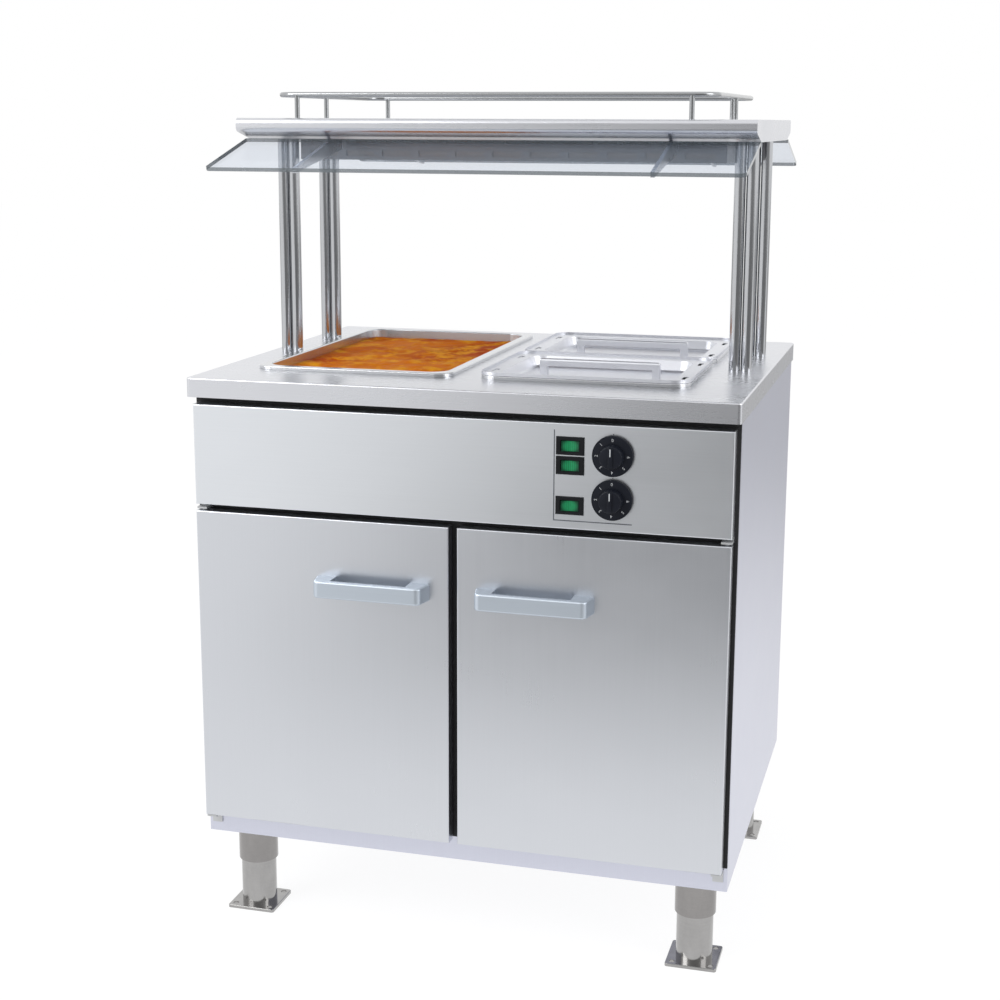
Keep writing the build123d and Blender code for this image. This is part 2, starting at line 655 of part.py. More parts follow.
def cupboard_heater():
    width, depth, height = HEATER_SIZE
    floor = Z_FLOOR + HEATER_LIFT
    front = Y_BACK_INNER - depth
    case = block((-width / 2, width / 2), (front, Y_BACK_INNER), (floor, floor + height))
    case -= block((SHEET - width / 2, width / 2 - SHEET), (front + SHEET, Y_BACK_INNER),
                  (floor + SHEET, floor + height - SHEET))
    middle = floor + height / 2
    first = -HEATER_SLOT_PITCH * (HEATER_SLOT_COUNT - 1) / 2
    for count in range(HEATER_SLOT_COUNT):
        x = first + HEATER_SLOT_PITCH * count
        case -= block(span(x, HEATER_SLOT_WIDTH), (front, front + SHEET), span(middle, HEATER_SLOT_HEIGHT))
    return case


def cupboard_shelf():
    depth = (Y_RAIL_BACK + CUPBOARD_SHELF_SETBACK, Y_BACK_INNER - CUPBOARD_SHELF_BACK_GAP)
    low = Z_CUPBOARD_SHELF - CUPBOARD_SHELF_EDGE
    shelf = block((-X_INNER, X_INNER), depth, (low, Z_CUPBOARD_SHELF))
    inside = (depth[0] + SHEET, depth[1] - SHEET)
    return shelf - block((SHEET - X_INNER, X_INNER - SHEET), inside, (low, Z_CUPBOARD_SHELF - SHEET))


def drain_pipe():
    """A spout under each well, joined below the deck, and the drop to the valve."""
    radius = DRAIN_DIAMETER / 2
    elbow = (DRAIN_XS[0], DRAIN_Y, Z_DRAIN)
    runs = [((DRAIN_XS[0], DRAIN_Y, Z_WELL), elbow),
            (elbow, (DRAIN_PIPE_X, DRAIN_Y, Z_DRAIN)),
            ((DRAIN_PIPE_X, DRAIN_Y, Z_WELL), (DRAIN_PIPE_X, DRAIN_Y, Z_VALVE + VALVE_LENGTH / 2))]
    outside = [rod(radius, *run) for run in runs] + [Pos(*elbow) * Sphere(radius)]
    bore = radius - DRAIN_WALL
    inside = [rod(bore, *run) for run in runs] + [Pos(*elbow) * Sphere(bore)]
    solid = outside[0].fuse(*outside[1:])
    return solid.cut(*inside)


def drain_valve():
    """Ball valve with its stem to the front, and the outlet below it, with a hose tail under the base."""
    low = Z_VALVE - VALVE_LENGTH / 2
    body = rod(VALVE_DIAMETER / 2, (DRAIN_PIPE_X, DRAIN_Y, low), (DRAIN_PIPE_X, DRAIN_Y, low + VALVE_LENGTH))
    body += rod(VALVE_STEM / 2, (DRAIN_PIPE_X, DRAIN_Y, Z_VALVE),
                (DRAIN_PIPE_X, DRAIN_Y - VALVE_DIAMETER / 2 - VALVE_STEM_LENGTH, Z_VALVE))
    base = (DRAIN_PIPE_X, DRAIN_Y, BASE_HEIGHT)
    end = (DRAIN_PIPE_X, DRAIN_Y, BASE_HEIGHT - HOSE_TAIL_LENGTH)
    body += rod(DRAIN_DIAMETER / 2, (DRAIN_PIPE_X, DRAIN_Y, low), base)
    body += rod(HOSE_TAIL_DIAMETER / 2, base, end)
    return body - rod(DRAIN_DIAMETER / 2 - DRAIN_WALL, (DRAIN_PIPE_X, DRAIN_Y, low + VALVE_LENGTH), end)


def drain_lever():
    """A flat lever on the valve stem, pointing to the side while the valve is shut."""
    back = DRAIN_Y - VALVE_DIAMETER / 2 - VALVE_STEM_LENGTH - LEVER_GAP
    half = LEVER_WIDTH / 2
    arm = block((DRAIN_PIPE_X - half, DRAIN_PIPE_X + LEVER_LENGTH), (back - LEVER_THICKNESS, back),
                (Z_VALVE - half, Z_VALVE + half))
    return fillet(arm.edges().filter_by(Axis.Y), half - LEVER_THICKNESS)


def leg_sleeves():
    legs = []
    low = BASE_HEIGHT - LEG_LENGTH
    for x, y in LEG_PLACES:
        leg = rod(LEG_DIAMETER / 2, (x, y, low), (x, y, BASE_HEIGHT))
        legs.append(leg - rod(LEG_DIAMETER / 2 - LEG_WALL, (x, y, low), (x, y, BASE_HEIGHT - LEG_CAP)))
    return Compound(children=legs)


def foot(x, y):
    top = BASE_HEIGHT - LEG_CAP - FOOT_HEADROOM
    flange = plate((x, y), FOOT_FLANGE, FOOT_FLANGE, FOOT_FLANGE_CORNER, 0, FOOT_FLANGE_THICKNESS)
    flange = fillet(flange.faces().sort_by(Axis.Z)[-1].edges(), FOOT_FLANGE_ROUND)
    for step_x in (-1, 1):
        for step_y in (-1, 1):
            hole = (x + step_x * FOOT_HOLE_SPACING / 2, y + step_y * FOOT_HOLE_SPACING / 2)
            flange -= rod(FOOT_HOLE / 2, (*hole, 0), (*hole, FOOT_FLANGE_THICKNESS))
    return flange + pipe(FOOT_DIAMETER / 2, FOOT_WALL, (x, y, FOOT_FLANGE_THICKNESS), (x, y, top))


def door_span():
    return (CENTRE_GAP / 2, X_FACE)


def door_skin(side):
    x = door_span()
    skin = folded_front(block(x, (Y_FACE, Y_DOOR_BACK - SHEET), (Z_DOOR_BOTTOM, Z_DOOR_TOP)))
    skin -= block((x[0] + SHEET, x[1] - SHEET), (Y_FACE + SHEET, Y_DOOR_BACK - SHEET),
                  (Z_DOOR_BOTTOM + SHEET, Z_DOOR_TOP - SHEET))
    across = (X_FACE - SHEET - PIVOT_BLOCK_WIDTH, X_FACE - SHEET)
    inside = (Y_FACE + SHEET, Y_DOOR_BACK - SHEET)
    for edge, inward in ((Z_DOOR_BOTTOM, 1), (Z_DOOR_TOP, -1)):
        ends = sorted((edge + inward * SHEET, edge + inward * PIVOT_BLOCK_HEIGHT))
        skin += block(across, inside, ends)
        deep = edge + inward * (PIN_LENGTH + PIN_CLEARANCE)
        skin -= rod(PIN_DIAMETER / 2 + PIN_CLEARANCE, (X_PIVOT, Y_PIVOT, edge), (X_PIVOT, Y_PIVOT, deep))
    return on_side(skin, side)


def door_liner(side):
    return on_side(block(door_span(), (Y_DOOR_BACK - SHEET, Y_DOOR_BACK), (Z_DOOR_BOTTOM, Z_DOOR_TOP)), side)


def door_gasket(side):
    x = (CENTRE_GAP / 2 + GASKET_FREE_INSET, X_FACE - GASKET_HINGE_INSET)
    y = (Y_DOOR_BACK, Y_DOOR_BACK + GASKET_THICKNESS)
    z = (Z_DOOR_BOTTOM + GASKET_END_INSET, Z_DOOR_TOP - GASKET_END_INSET)
    ring = block(x, y, z) - block((x[0] + GASKET_WIDTH, x[1] - GASKET_WIDTH), y,
                                  (z[0] + GASKET_WIDTH, z[1] - GASKET_WIDTH))
    return on_side(ring, side)


def door_handle(side):
    """A bar with flared ends, open behind for the fingers."""
    half = HANDLE_LENGTH / 2
    front = Y_FACE - HANDLE_STANDOFF
    outline = Polygon((-half - HANDLE_FLARE, Y_FACE), (half + HANDLE_FLARE, Y_FACE), (half, front),
                      (-half, front), align=None)
    outline = fillet(outline.vertices().sort_by(Axis.Y)[:2], HANDLE_CORNER)
    gap = half - HANDLE_END
    outline -= Polygon((-gap, Y_FACE), (gap, Y_FACE), (gap, front + HANDLE_GRIP), (-gap, front + HANDLE_GRIP),
                       align=None)
    z = Z_DOOR_TOP - HANDLE_DROP
    bar = extrude(Pos(0, 0, z - HANDLE_HEIGHT / 2) * outline, HANDLE_HEIGHT)
    front_edges = [edge for edge in bar.edges().filter_by(Axis.X) if edge.center().Y < front + HANDLE_EDGE]
    bar = fillet(front_edges, HANDLE_EDGE)
    return Pos(side * HANDLE_X, 0, 0) * bar


def hinge_bracket(edge, inward):
    """A plate with a pivot pin at one end of a door, held by a tab on the side flange."""
    near = edge - inward * BRACKET_DOOR_GAP
    far = near - inward * BRACKET_THICKNESS
    across = span(X_PIVOT, BRACKET_WIDTH)
    bracket = block(across, (Y_PIVOT - BRACKET_WIDTH / 2, Y_CARCASS), sorted((near, far)))
    tab = near - inward * BRACKET_TAB
    bracket += block(across, (Y_CARCASS - BRACKET_THICKNESS, Y_CARCASS), sorted((near, tab)))
    pin_end = edge + inward * PIN_LENGTH
    return bracket + rod(PIN_DIAMETER / 2, (X_PIVOT, Y_PIVOT, near), (X_PIVOT, Y_PIVOT, pin_end))


def hinge_brackets():
    brackets = []
    for side in SIDES.values():
        for edge, inward in ((Z_DOOR_BOTTOM, 1), (Z_DOOR_TOP, -1)):
            brackets.append(on_side(hinge_bracket(edge, inward), side))
    return Compound(children=brackets)


def shelf_posts():
    tubes = []
    for x, y in tube_places():
        tubes.append(pipe(POST_DIAMETER / 2, POST_WALL, (x, y, Z_TOP), (x, y, Z_SHELF_UNDER)))
    return Compound(children=tubes)


def post_plates():
    """Plates under the worktop, with spigots that reach up into the tubes."""
    plates = []
    for side in SIDES.values():
        for y in POST_YS:
            middle = side * POST_X
            base = block(span(middle, POST_PLATE_X), span(y, POST_PLATE_Y),
                         (Z_UNDER - POST_PLATE_THICKNESS, Z_UNDER))
            for x in (middle - TUBE_OFFSET, middle + TUBE_OFFSET):
                base += rod(SPIGOT_DIAMETER / 2, (x, y, Z_UNDER), (x, y, Z_TOP + SPIGOT_LENGTH))
            plates.append(base)
    return Compound(children=plates)


def shelf_outline():
    half = SHELF_DEPTH / 2
    nose = SHELF_HEIGHT - SHELF_NOSE
    corners = [(-half, SHELF_HEIGHT), (-half, nose), (SHELF_UNDERCUT - half, Z_SHELF_UNDER),
               (half - SHELF_UNDERCUT, Z_SHELF_UNDER), (half, nose), (half, SHELF_HEIGHT)]
    return Polygon(*[(SHELF_Y + y, z) for y, z in corners], align=None)


def rolled_noses(outline, radius):
    """Rounds the upper and lower corners of the noses along both long edges."""
    return fillet(outline.vertices().sort_by(Axis.Y)[-4:], radius)


def overshelf():
    """Folded sheet with undercut long edges, closed ends and a mouth over the lamp box."""
    outline = shelf_outline()
    hollow = rolled_noses(offset(outline, amount=-SHEET, kind=Kind.INTERSECTION), SHELF_NOSE_ROUND - SHEET)
    outline = rolled_noses(outline, SHELF_NOSE_ROUND)
    half = SHELF_WIDTH / 2
    shelf = extrude(Plane.YZ.offset(-half) * outline, SHELF_WIDTH)
    shelf -= extrude(Plane.YZ.offset(SHEET - half) * hollow, SHELF_WIDTH - 2 * SHEET)
    mouth_x = LAMP_BOX_WIDTH / 2 - SHELF_MOUTH_MARGIN
    mouth_y = LAMP_BOX_DEPTH / 2 - SHELF_MOUTH_MARGIN
    return shelf - block((-mouth_x, mouth_x), (SHELF_Y - mouth_y, SHELF_Y + mouth_y),
                         (Z_SHELF_UNDER, Z_SHELF_UNDER + SHEET))


def lamp_box():
    x_ends = span(0, LAMP_BOX_WIDTH)
    y = span(SHELF_Y, LAMP_BOX_DEPTH)
    box = block(x_ends, y, (Z_LAMP_BOX, Z_SHELF_UNDER))
    box -= block(within(x_ends, SHEET), within(y, SHEET), (Z_LAMP_BOX, Z_SHELF_UNDER - SHEET))
    low = Z_LAMP_BOX + LAMP_SLOT_LIFT
    first = -LAMP_SLOT_PITCH * (LAMP_SLOT_COUNT - 1) / 2
    for count in range(LAMP_SLOT_COUNT):
        x = first + LAMP_SLOT_PITCH * count
        box -= block(span(x, LAMP_SLOT_LENGTH), y, (low, low + LAMP_SLOT_HEIGHT))
    return box


def heat_lamps():
    """Quartz tubes in ceramic end caps that hang from the top of the lamp box."""
    lamps = []
    ceiling = Z_SHELF_UNDER - SHEET
    z = ceiling - LAMP_DROP
    half = LAMP_LENGTH / 2
    for y in span(SHELF_Y, LAMP_SPACING):
        lamp = rod(LAMP_DIAMETER / 2, (-half, y, z), (half, y, z))
        for side in SIDES.values():
            ends = sorted((side * half, side * (half - LAMP_CAP_LENGTH)))
            lamp += block(ends, span(y, LAMP_CAP), (z - LAMP_CAP / 2, ceiling))
        lamps.append(lamp)
    return Compound(children=lamps)


def lamp_guard():
    """A wire grid across the mouth of the lamp box."""
    half_x = LAMP_BOX_WIDTH / 2 - SHEET
    half_y = LAMP_BOX_DEPTH / 2 - SHEET
    z = (Z_LAMP_BOX, Z_LAMP_BOX + GUARD_WIRE)
    bars = []
    for count in range(GUARD_COUNT):
        x = -half_x + 2 * half_x * (count + 0.5) / GUARD_COUNT
        bars.append(block(span(x, GUARD_WIRE), span(SHELF_Y, 2 * half_y), z))
    for count in range(GUARD_CROSS_BARS):
        y = SHELF_Y - half_y + 2 * half_y * (count + 0.5) / GUARD_CROSS_BARS
        bars.append(block((-half_x, half_x), span(y, GUARD_WIRE), z))
    return bars[0].fuse(*bars[1:])


def glass_line(reach):
    """Height of the upper glass face at a distance from the middle of the shelf."""
    slope = (GLASS_DROP - GLASS_TOP_DROP) / (GLASS_REACH - GLASS_TOP_REACH)
    return SHELF_HEIGHT - GLASS_TOP_DROP - slope * (reach - GLASS_TOP_REACH)


def glass_guard(end):
    """A sloping pane with rounded outer corners, in front of the shelf or behind it."""
    run = GLASS_REACH - GLASS_TOP_REACH
    drop = GLASS_DROP - GLASS_TOP_DROP
    length = hypot(run, drop)
    pane = Pos(0, length / 2, 0) * Rectangle(GLASS_WIDTH, length)
    pane = fillet(pane.vertices().sort_by(Axis.Y)[-2:], GLASS_CORNER)
    pane = extrude(pane, -GLASS_THICKNESS)
    tilt = degrees(atan2(drop, run))
    pane = Pos(0, GLASS_TOP_REACH, SHELF_HEIGHT - GLASS_TOP_DROP) * Rot(-tilt, 0, 0) * pane
    if end < 0:
        pane = mirror(pane, about=Plane.XZ)
    return Pos(0, SHELF_Y, 0) * pane


def glass_arms():
    """Upright plates that carry each pane from the underside of the shelf."""
    tilt = atan2(GLASS_DROP - GLASS_TOP_DROP, GLASS_REACH - GLASS_TOP_REACH)
    under = GLASS_THICKNESS / cos(tilt) + ARM_GAP
    root = SHELF_DEPTH / 2 - SHELF_UNDERCUT
    tip = GLASS_REACH - ARM_TIP_INSET
    top_start = GLASS_TOP_REACH - GLASS_THICKNESS * sin(tilt)
    tip_z = glass_line(tip) - under
    outline = [(root - ARM_ROOT, Z_SHELF_UNDER), (root, Z_SHELF_UNDER),
               (top_start, glass_line(top_start) - under), (tip, tip_z), (tip, tip_z - ARM_HEIGHT / 2),
               (root - ARM_ROOT, Z_SHELF_UNDER - ARM_HEIGHT)]
    arms = []
    for end in (-1, 1):
        for side in SIDES.values():
            x = side * ARM_X
            points = [(SHELF_Y + end * y, z) for y, z in outline]
            arms.append(along_x(points, x - ARM_THICKNESS / 2, x + ARM_THICKNESS / 2))
    return Compound(children=arms)


def gallery_rail():
    """A closed ring of round bar above the shelf."""
    z = SHELF_HEIGHT + GALLERY_HEIGHT
    ring = Pos(0, SHELF_Y, z) * RectangleRounded(GALLERY_WIDTH, GALLERY_DEPTH, GALLERY_CORNER)
    path = ring.wires()[0]
    return sweep(Plane(origin=path @ 0, z_dir=path % 0) * Circle(GALLERY_DIAMETER / 2), path=path)


def gallery_posts(rail):
    half = GALLERY_DEPTH / 2
    places = [(side * GALLERY_POST_X, SHELF_Y + end * half) for side in SIDES.values() for end in (-1, 1)]
    places += [(side * GALLERY_WIDTH / 2, SHELF_Y) for side in SIDES.values()]
    z = SHELF_HEIGHT + GALLERY_HEIGHT
    posts = [rod(GALLERY_DIAMETER / 2, (x, y, SHELF_HEIGHT), (x, y, z)) - rail for x, y in places]
    return Compound(children=posts)


def pan_inside(centre, size_x, size_y, depth, room):
    """The space in a pan, smaller all round by a given room."""
    inset = 2 * (PAN_WALL_INSET + PAN_SHEET + room)
    hollow = tub(centre, size_x - inset, size_y - inset, PAN_CORNER - PAN_SHEET - room, Z_RIM,
                 depth - PAN_SHEET - room, PAN_TAPER)
    return fillet(hollow.faces().sort_by(Axis.Z)[0].edges(), PAN_BOTTOM_ROUND - PAN_SHEET - room)


def rim_plate(centre, size_x, size_y, inset, low, high):
    """A plate with the outline of a pan's rim, smaller all round by an inset."""
    shrink = 2 * (PAN_CLEARANCE + inset)
    return plate(centre, size_x - shrink, size_y - shrink, RIM_CORNER - inset, low, high)


def pan(centre, size_x, size_y, depth):
    """A deep-drawn pan whose rim rests on the worktop."""
    low = Z_TOP + REST_GAP
    rim = rim_plate(centre, size_x, size_y, 0, low, Z_RIM)
    rim -= rim_plate(centre, size_x, size_y, PAN_SHEET, low, Z_RIM - PAN_SHEET)
    bowl_x = size_x - 2 * PAN_WALL_INSET
    bowl_y = size_y - 2 * PAN_WALL_INSET
    bowl = tub(centre, bowl_x, bowl_y, PAN_CORNER, Z_RIM, depth, PAN_TAPER)
    bowl = fillet(bowl.faces().sort_by(Axis.Z)[0].edges(), PAN_BOTTOM_ROUND)
    vessel = rim + bowl - pan_inside(centre, size_x, size_y, depth, 0)
    return fillet(vessel.faces().sort_by(Axis.Z)[-1].edges(), RIM_ROUND)


def food():
    """A baked dish that fills the full-size pan to a little below its rim."""
    fill = pan_inside((WELL_XS[0], SERVERY_Y), PAN_WIDTH, PAN_LENGTH, FULL_PAN_DEPTH, FOOD_CLEARANCE)
    surface = Z_RIM - FOOD_DROP
    return fill - plate((WELL_XS[0], SERVERY_Y), PAN_WIDTH, PAN_LENGTH, PAN_CORNER, surface, Z_RIM)


def half_pan_centre(end):
    return (WELL_XS[1], SERVERY_Y + end * HALF_PAN_LENGTH / 2)


def lid_recess(centre, inset, top):
    """The sunken middle of a lid, smaller all round by an inset."""
    sunk_x = PAN_WIDTH - 2 * (LID_BORDER_X + inset)
    sunk_y = HALF_PAN_LENGTH - 2 * (LID_BORDER_Y + inset)
    recess = tub(centre, sunk_x, sunk_y, LID_CORNER - inset, top, LID_SINK - inset, LID_TAPER)
    return fillet(recess.faces().sort_by(Axis.Z)[0].edges(), LID_BOTTOM_ROUND - inset)


def lid(end):
    """A sunken lid with a raised edge, slots in its border and a bar handle."""
    centre = half_pan_centre(end)
    x, y = centre
    size_x = PAN_WIDTH - 2 * PAN_CLEARANCE
    size_y = HALF_PAN_LENGTH - 2 * PAN_CLEARANCE
    top = Z_LID + PAN_SHEET
    sheet = rim_plate(centre, PAN_WIDTH, HALF_PAN_LENGTH, 0, Z_LID, Z_LID + LID_EDGE)
    sheet -= rim_plate(centre, PAN_WIDTH, HALF_PAN_LENGTH, PAN_SHEET, top, Z_LID + LID_EDGE)
    sheet += lid_recess(centre, 0, top)
    sheet -= lid_recess(centre, PAN_SHEET, top)
    for step_x in (-1, 1):
        for step_y in (-1, 1):
            slot = (x + step_x * (size_x / 2 - LID_SLOT_INSET), y + step_y * (size_y / 2 - LID_SLOT_END))
            outline = Pos(*slot, Z_LID) * SlotOverall(LID_SLOT_LENGTH, LID_SLOT_WIDTH, rotation=90)
            sheet -= extrude(outline, PAN_SHEET)
    floor = top - LID_SINK + PAN_SHEET
    low = floor + LID_HANDLE_GAP
    half = LID_HANDLE_LENGTH / 2
    depth = span(y, LID_HANDLE_DEPTH)
    bar = block((x - half, x + half), depth, (low, low + LID_HANDLE_HEIGHT))
    bar = fillet(bar.faces().sort_by(Axis.Z)[-1].edges(), LID_HANDLE_ROUND)
    sheet += bar
    for step in (-1, 1):
        ends = sorted((x + step * half, x + step * (half - LID_HANDLE_LEG)))
        sheet += block(ends, depth, (floor, low))
    return sheet


def build_parts():
    full_centre = (WELL_XS[0], SERVERY_Y)
    rail = gallery_rail()
    parts = {
        "worktop": worktop(),
        "left_well": well(WELL_XS[0]),
        "right_well": well(WELL_XS[1]),
        "heating_elements": heating_elements(),
        "back_panel": back_panel(),
        "back_panel_screws": back_panel_screws(),
        "cable_gland": cable_gland(),
        "base_tray": base_tray(),
        "well_deck": well_deck(),
        "front_rails": front_rails(),
        "centre_mullion": centre_mullion(),
        "front_seal": front_seal(),
        "control_panel": control_panel(),
        "switch_housings": switch_housings(),
        "thermostats": thermostats(),
        "terminal_box": terminal_box(),
        "cupboard_heater": cupboard_heater(),
        "cupboard_shelf": cupboard_shelf(),
        "drain_pipe": drain_pipe(),
        "drain_valve": drain_valve(),
        "drain_lever": drain_lever(),
        "leg_sleeves": leg_sleeves(),
        "hinge_brackets": hinge_brackets(),
        "shelf_posts": shelf_posts(),
        "post_plates": post_plates(),
        "overshelf": overshelf(),
        "lamp_box": lamp_box(),
        "heat_lamps": heat_lamps(),
        "lamp_guard": lamp_guard(),
        "front_glass": glass_guard(-1),
        "rear_glass": glass_guard(1),
        "glass_arms": glass_arms(),
        "gallery_rail": rail,
        "gallery_posts": gallery_posts(rail),
        "full_pan": pan(full_centre, PAN_WIDTH, PAN_LENGTH, FULL_PAN_DEPTH),
        "baked_dish": food(),
        "front_pan": pan(half_pan_centre(-1), PAN_WIDTH, HALF_PAN_LENGTH, HALF_PAN_DEPTH),
        "rear_pan": pan(half_pan_centre(1), PAN_WIDTH, HALF_PAN_LENGTH, HALF_PAN_DEPTH),
        "front_lid": lid(-1),
        "rear_lid": lid(1),
    }
    for name, side in SIDES.items():
        parts[name + "_side_panel"] = side_panel(side)
        parts[name + "_door_skin"] = door_skin(side)
        parts[name + "_door_liner"] = door_liner(side)
        parts[name + "_door_gasket"] = door_gasket(side)
        parts[name + "_door_handle"] = door_handle(side)
    for name, z in zip(("upper", "middle", "lower"), switch_zs()):
        parts[name + "_rocker"] = rocker(z)
    for name, z in zip(("well", "cupboard"), dial_zs()):
        parts[name + "_dial"] = dial(z)
    for name, (x, y) in zip(("front_left", "rear_left", "front_right", "rear_right"), LEG_PLACES):
        parts[name + "_foot"] = foot(x, y)
    return parts


os.makedirs("parts", exist_ok=True)
for node, shape in build_parts().items():
    export_step(shape, f"parts/{node}.step")
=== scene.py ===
"""The looks of the bain marie: finishes for its solids, detailed dials, food and print, and the studio."""
import math

import bpy
from mathutils import Matrix, Vector, noise


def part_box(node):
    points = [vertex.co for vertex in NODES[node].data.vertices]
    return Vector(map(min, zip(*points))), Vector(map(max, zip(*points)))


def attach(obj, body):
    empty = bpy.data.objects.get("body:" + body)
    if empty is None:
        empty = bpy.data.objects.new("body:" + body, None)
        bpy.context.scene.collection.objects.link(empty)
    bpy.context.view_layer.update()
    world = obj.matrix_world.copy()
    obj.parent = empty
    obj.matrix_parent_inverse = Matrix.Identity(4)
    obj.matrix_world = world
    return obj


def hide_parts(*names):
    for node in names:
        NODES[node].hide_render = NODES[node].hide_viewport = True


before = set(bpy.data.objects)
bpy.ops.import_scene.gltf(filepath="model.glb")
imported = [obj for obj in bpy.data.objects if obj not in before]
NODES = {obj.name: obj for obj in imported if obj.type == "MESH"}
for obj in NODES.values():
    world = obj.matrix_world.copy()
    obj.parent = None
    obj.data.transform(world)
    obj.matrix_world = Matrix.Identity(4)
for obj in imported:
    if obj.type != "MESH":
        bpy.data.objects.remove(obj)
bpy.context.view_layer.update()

MM = 0.001

# Where the photographer stood, in metres and degrees
CAMERA_PLACE = (0.7199, -2.7025, 1.2790)
CAMERA_YAW = 15.437
CAMERA_PITCH = 11.624
CAMERA_ROLL = 0.228
CAMERA_LENS = 60.89
CAMERA_RISE = -0.03
SENSOR = 36.0


def middle_of(node):
    low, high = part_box(node)
    return (low + high) / 2


# Levels and faces of the solids that new pieces sit on
PANEL_FACE_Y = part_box("control_panel")[0].y
DIAL_X = middle_of("well_dial").x
WELL_DIAL_Z = middle_of("well_dial").z
CUPBOARD_DIAL_Z = middle_of("cupboard_dial").z
FOOD_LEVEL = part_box("baked_dish")[1].z
LAMP_CAP_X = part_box("heat_lamps")[1].x - 24.0 * MM

# How far a guard pane drops over its reach
PANE_TILT = math.atan2(42.0, 158.0)

# The food: a grid with flatter edges, and a skirt down inside the pan
FOOD_COLUMNS, FOOD_ROWS = 110, 180
FOOD_CORNER = 28.0 * MM
FOOD_EDGE = 18.0 * MM
FOOD_EDGE_LUMPS = 0.35
FOOD_SINK = 1.0 * MM
LUMP_HEIGHT = 3.4 * MM
LUMP_PITCH = 22.0
RIDGE_DEPTH = 2.2 * MM
RIDGE_PITCH = 48.0
FOOD_DEPTH = 14.0 * MM
FOOD_TAPER = 2.0 * MM

# The dark strips in the lamp box, painted shade behind its slots
SCREEN_INSET = 4.0 * MM
SCREEN_MARGIN = 8.0 * MM
SCREEN_SHEET = 1.0 * MM
SCREEN_FOLD = 1.5 * MM

# A dial: a skirt with a band for the figures, a fluted grip and a pointer rib
DIAL_GAP = 1.5 * MM
SKIRT_RADIUS = 30.0 * MM
SKIRT_DEPTH = 5.0 * MM
SKIRT_LIP = 1.6 * MM
BAND_WIDTH = 9.8 * MM
BAND_RISE = 0.8 * MM
STEP_RISE = 1.0 * MM
STEP_WIDTH = 0.6 * MM
GRIP_RADIUS = 18.0 * MM
GRIP_HEIGHT = 14.0 * MM
GRIP_LOW = 6.0 * MM
GRIP_TOP = GRIP_LOW + GRIP_HEIGHT
GRIP_TAPER = 0.07
GRIP_EASE = 1.4 * MM
FLUTES = 20
FLUTE_DEPTH = 0.035
RIB_SIZE = (7.0 * MM, 29.0 * MM, 3.2 * MM)
RIB_RISE = 0.6 * MM
RIB_EASE = 1.2 * MM
POINTER_SIZE = (1.5 * MM, 11.0 * MM, 0.3 * MM)
POINTER_REACH = 8.0 * MM
POINTER_RISE = 2.25 * MM
POINTER_EASE = 0.1 * MM
FIGURES = 7
FIGURE_STEP = 45.0
FIGURE_SIZE = 6.2 * MM
FIGURE_THICKNESS = 0.12 * MM
FIGURE_RADIUS = 23.4 * MM
FIGURE_RISE = 5.45 * MM

# The print on the panel, measured from the dials
PRINT_LEFT = 88.0 * MM
PRINT_RIGHT = 29.0 * MM
PRINT_ABOVE = 34.0 * MM
PRINT_BELOW = 36.5 * MM
PRINT_WIDTH = 1.6 * MM
PRINT_THICKNESS = 0.1 * MM
PRINT_LIFT = 0.02 * MM
MARK_RADIUS = 1.4 * MM
MARK_RISE = 31.2 * MM

SMOOTH_ANGLE = math.radians(35)


class Wire:
    """A shader output that can stand in a sum."""

    def __init__(self, graph, socket):
        self.graph = graph
        self.socket = socket

    def _sum(self, operation, first, second):
        return self.graph.node("ShaderNodeMath", {"operation": operation}, {0: first, 1: second})

    def __add__(self, other):
        return self._sum("ADD", self, other)

    def __radd__(self, other):
        return self._sum("ADD", other, self)

    def __sub__(self, other):
        return self._sum("SUBTRACT", self, other)

    def __rsub__(self, other):
        return self._sum("SUBTRACT", other, self)

    def __mul__(self, other):
        return self._sum("MULTIPLY", self, other)

    def __rmul__(self, other):
        return self._sum("MULTIPLY", other, self)

    def __abs__(self):
        return self._sum("ABSOLUTE", self, 0.0)

    def out(self, name):
        return Wire(self.graph, self.socket.node.outputs[name])


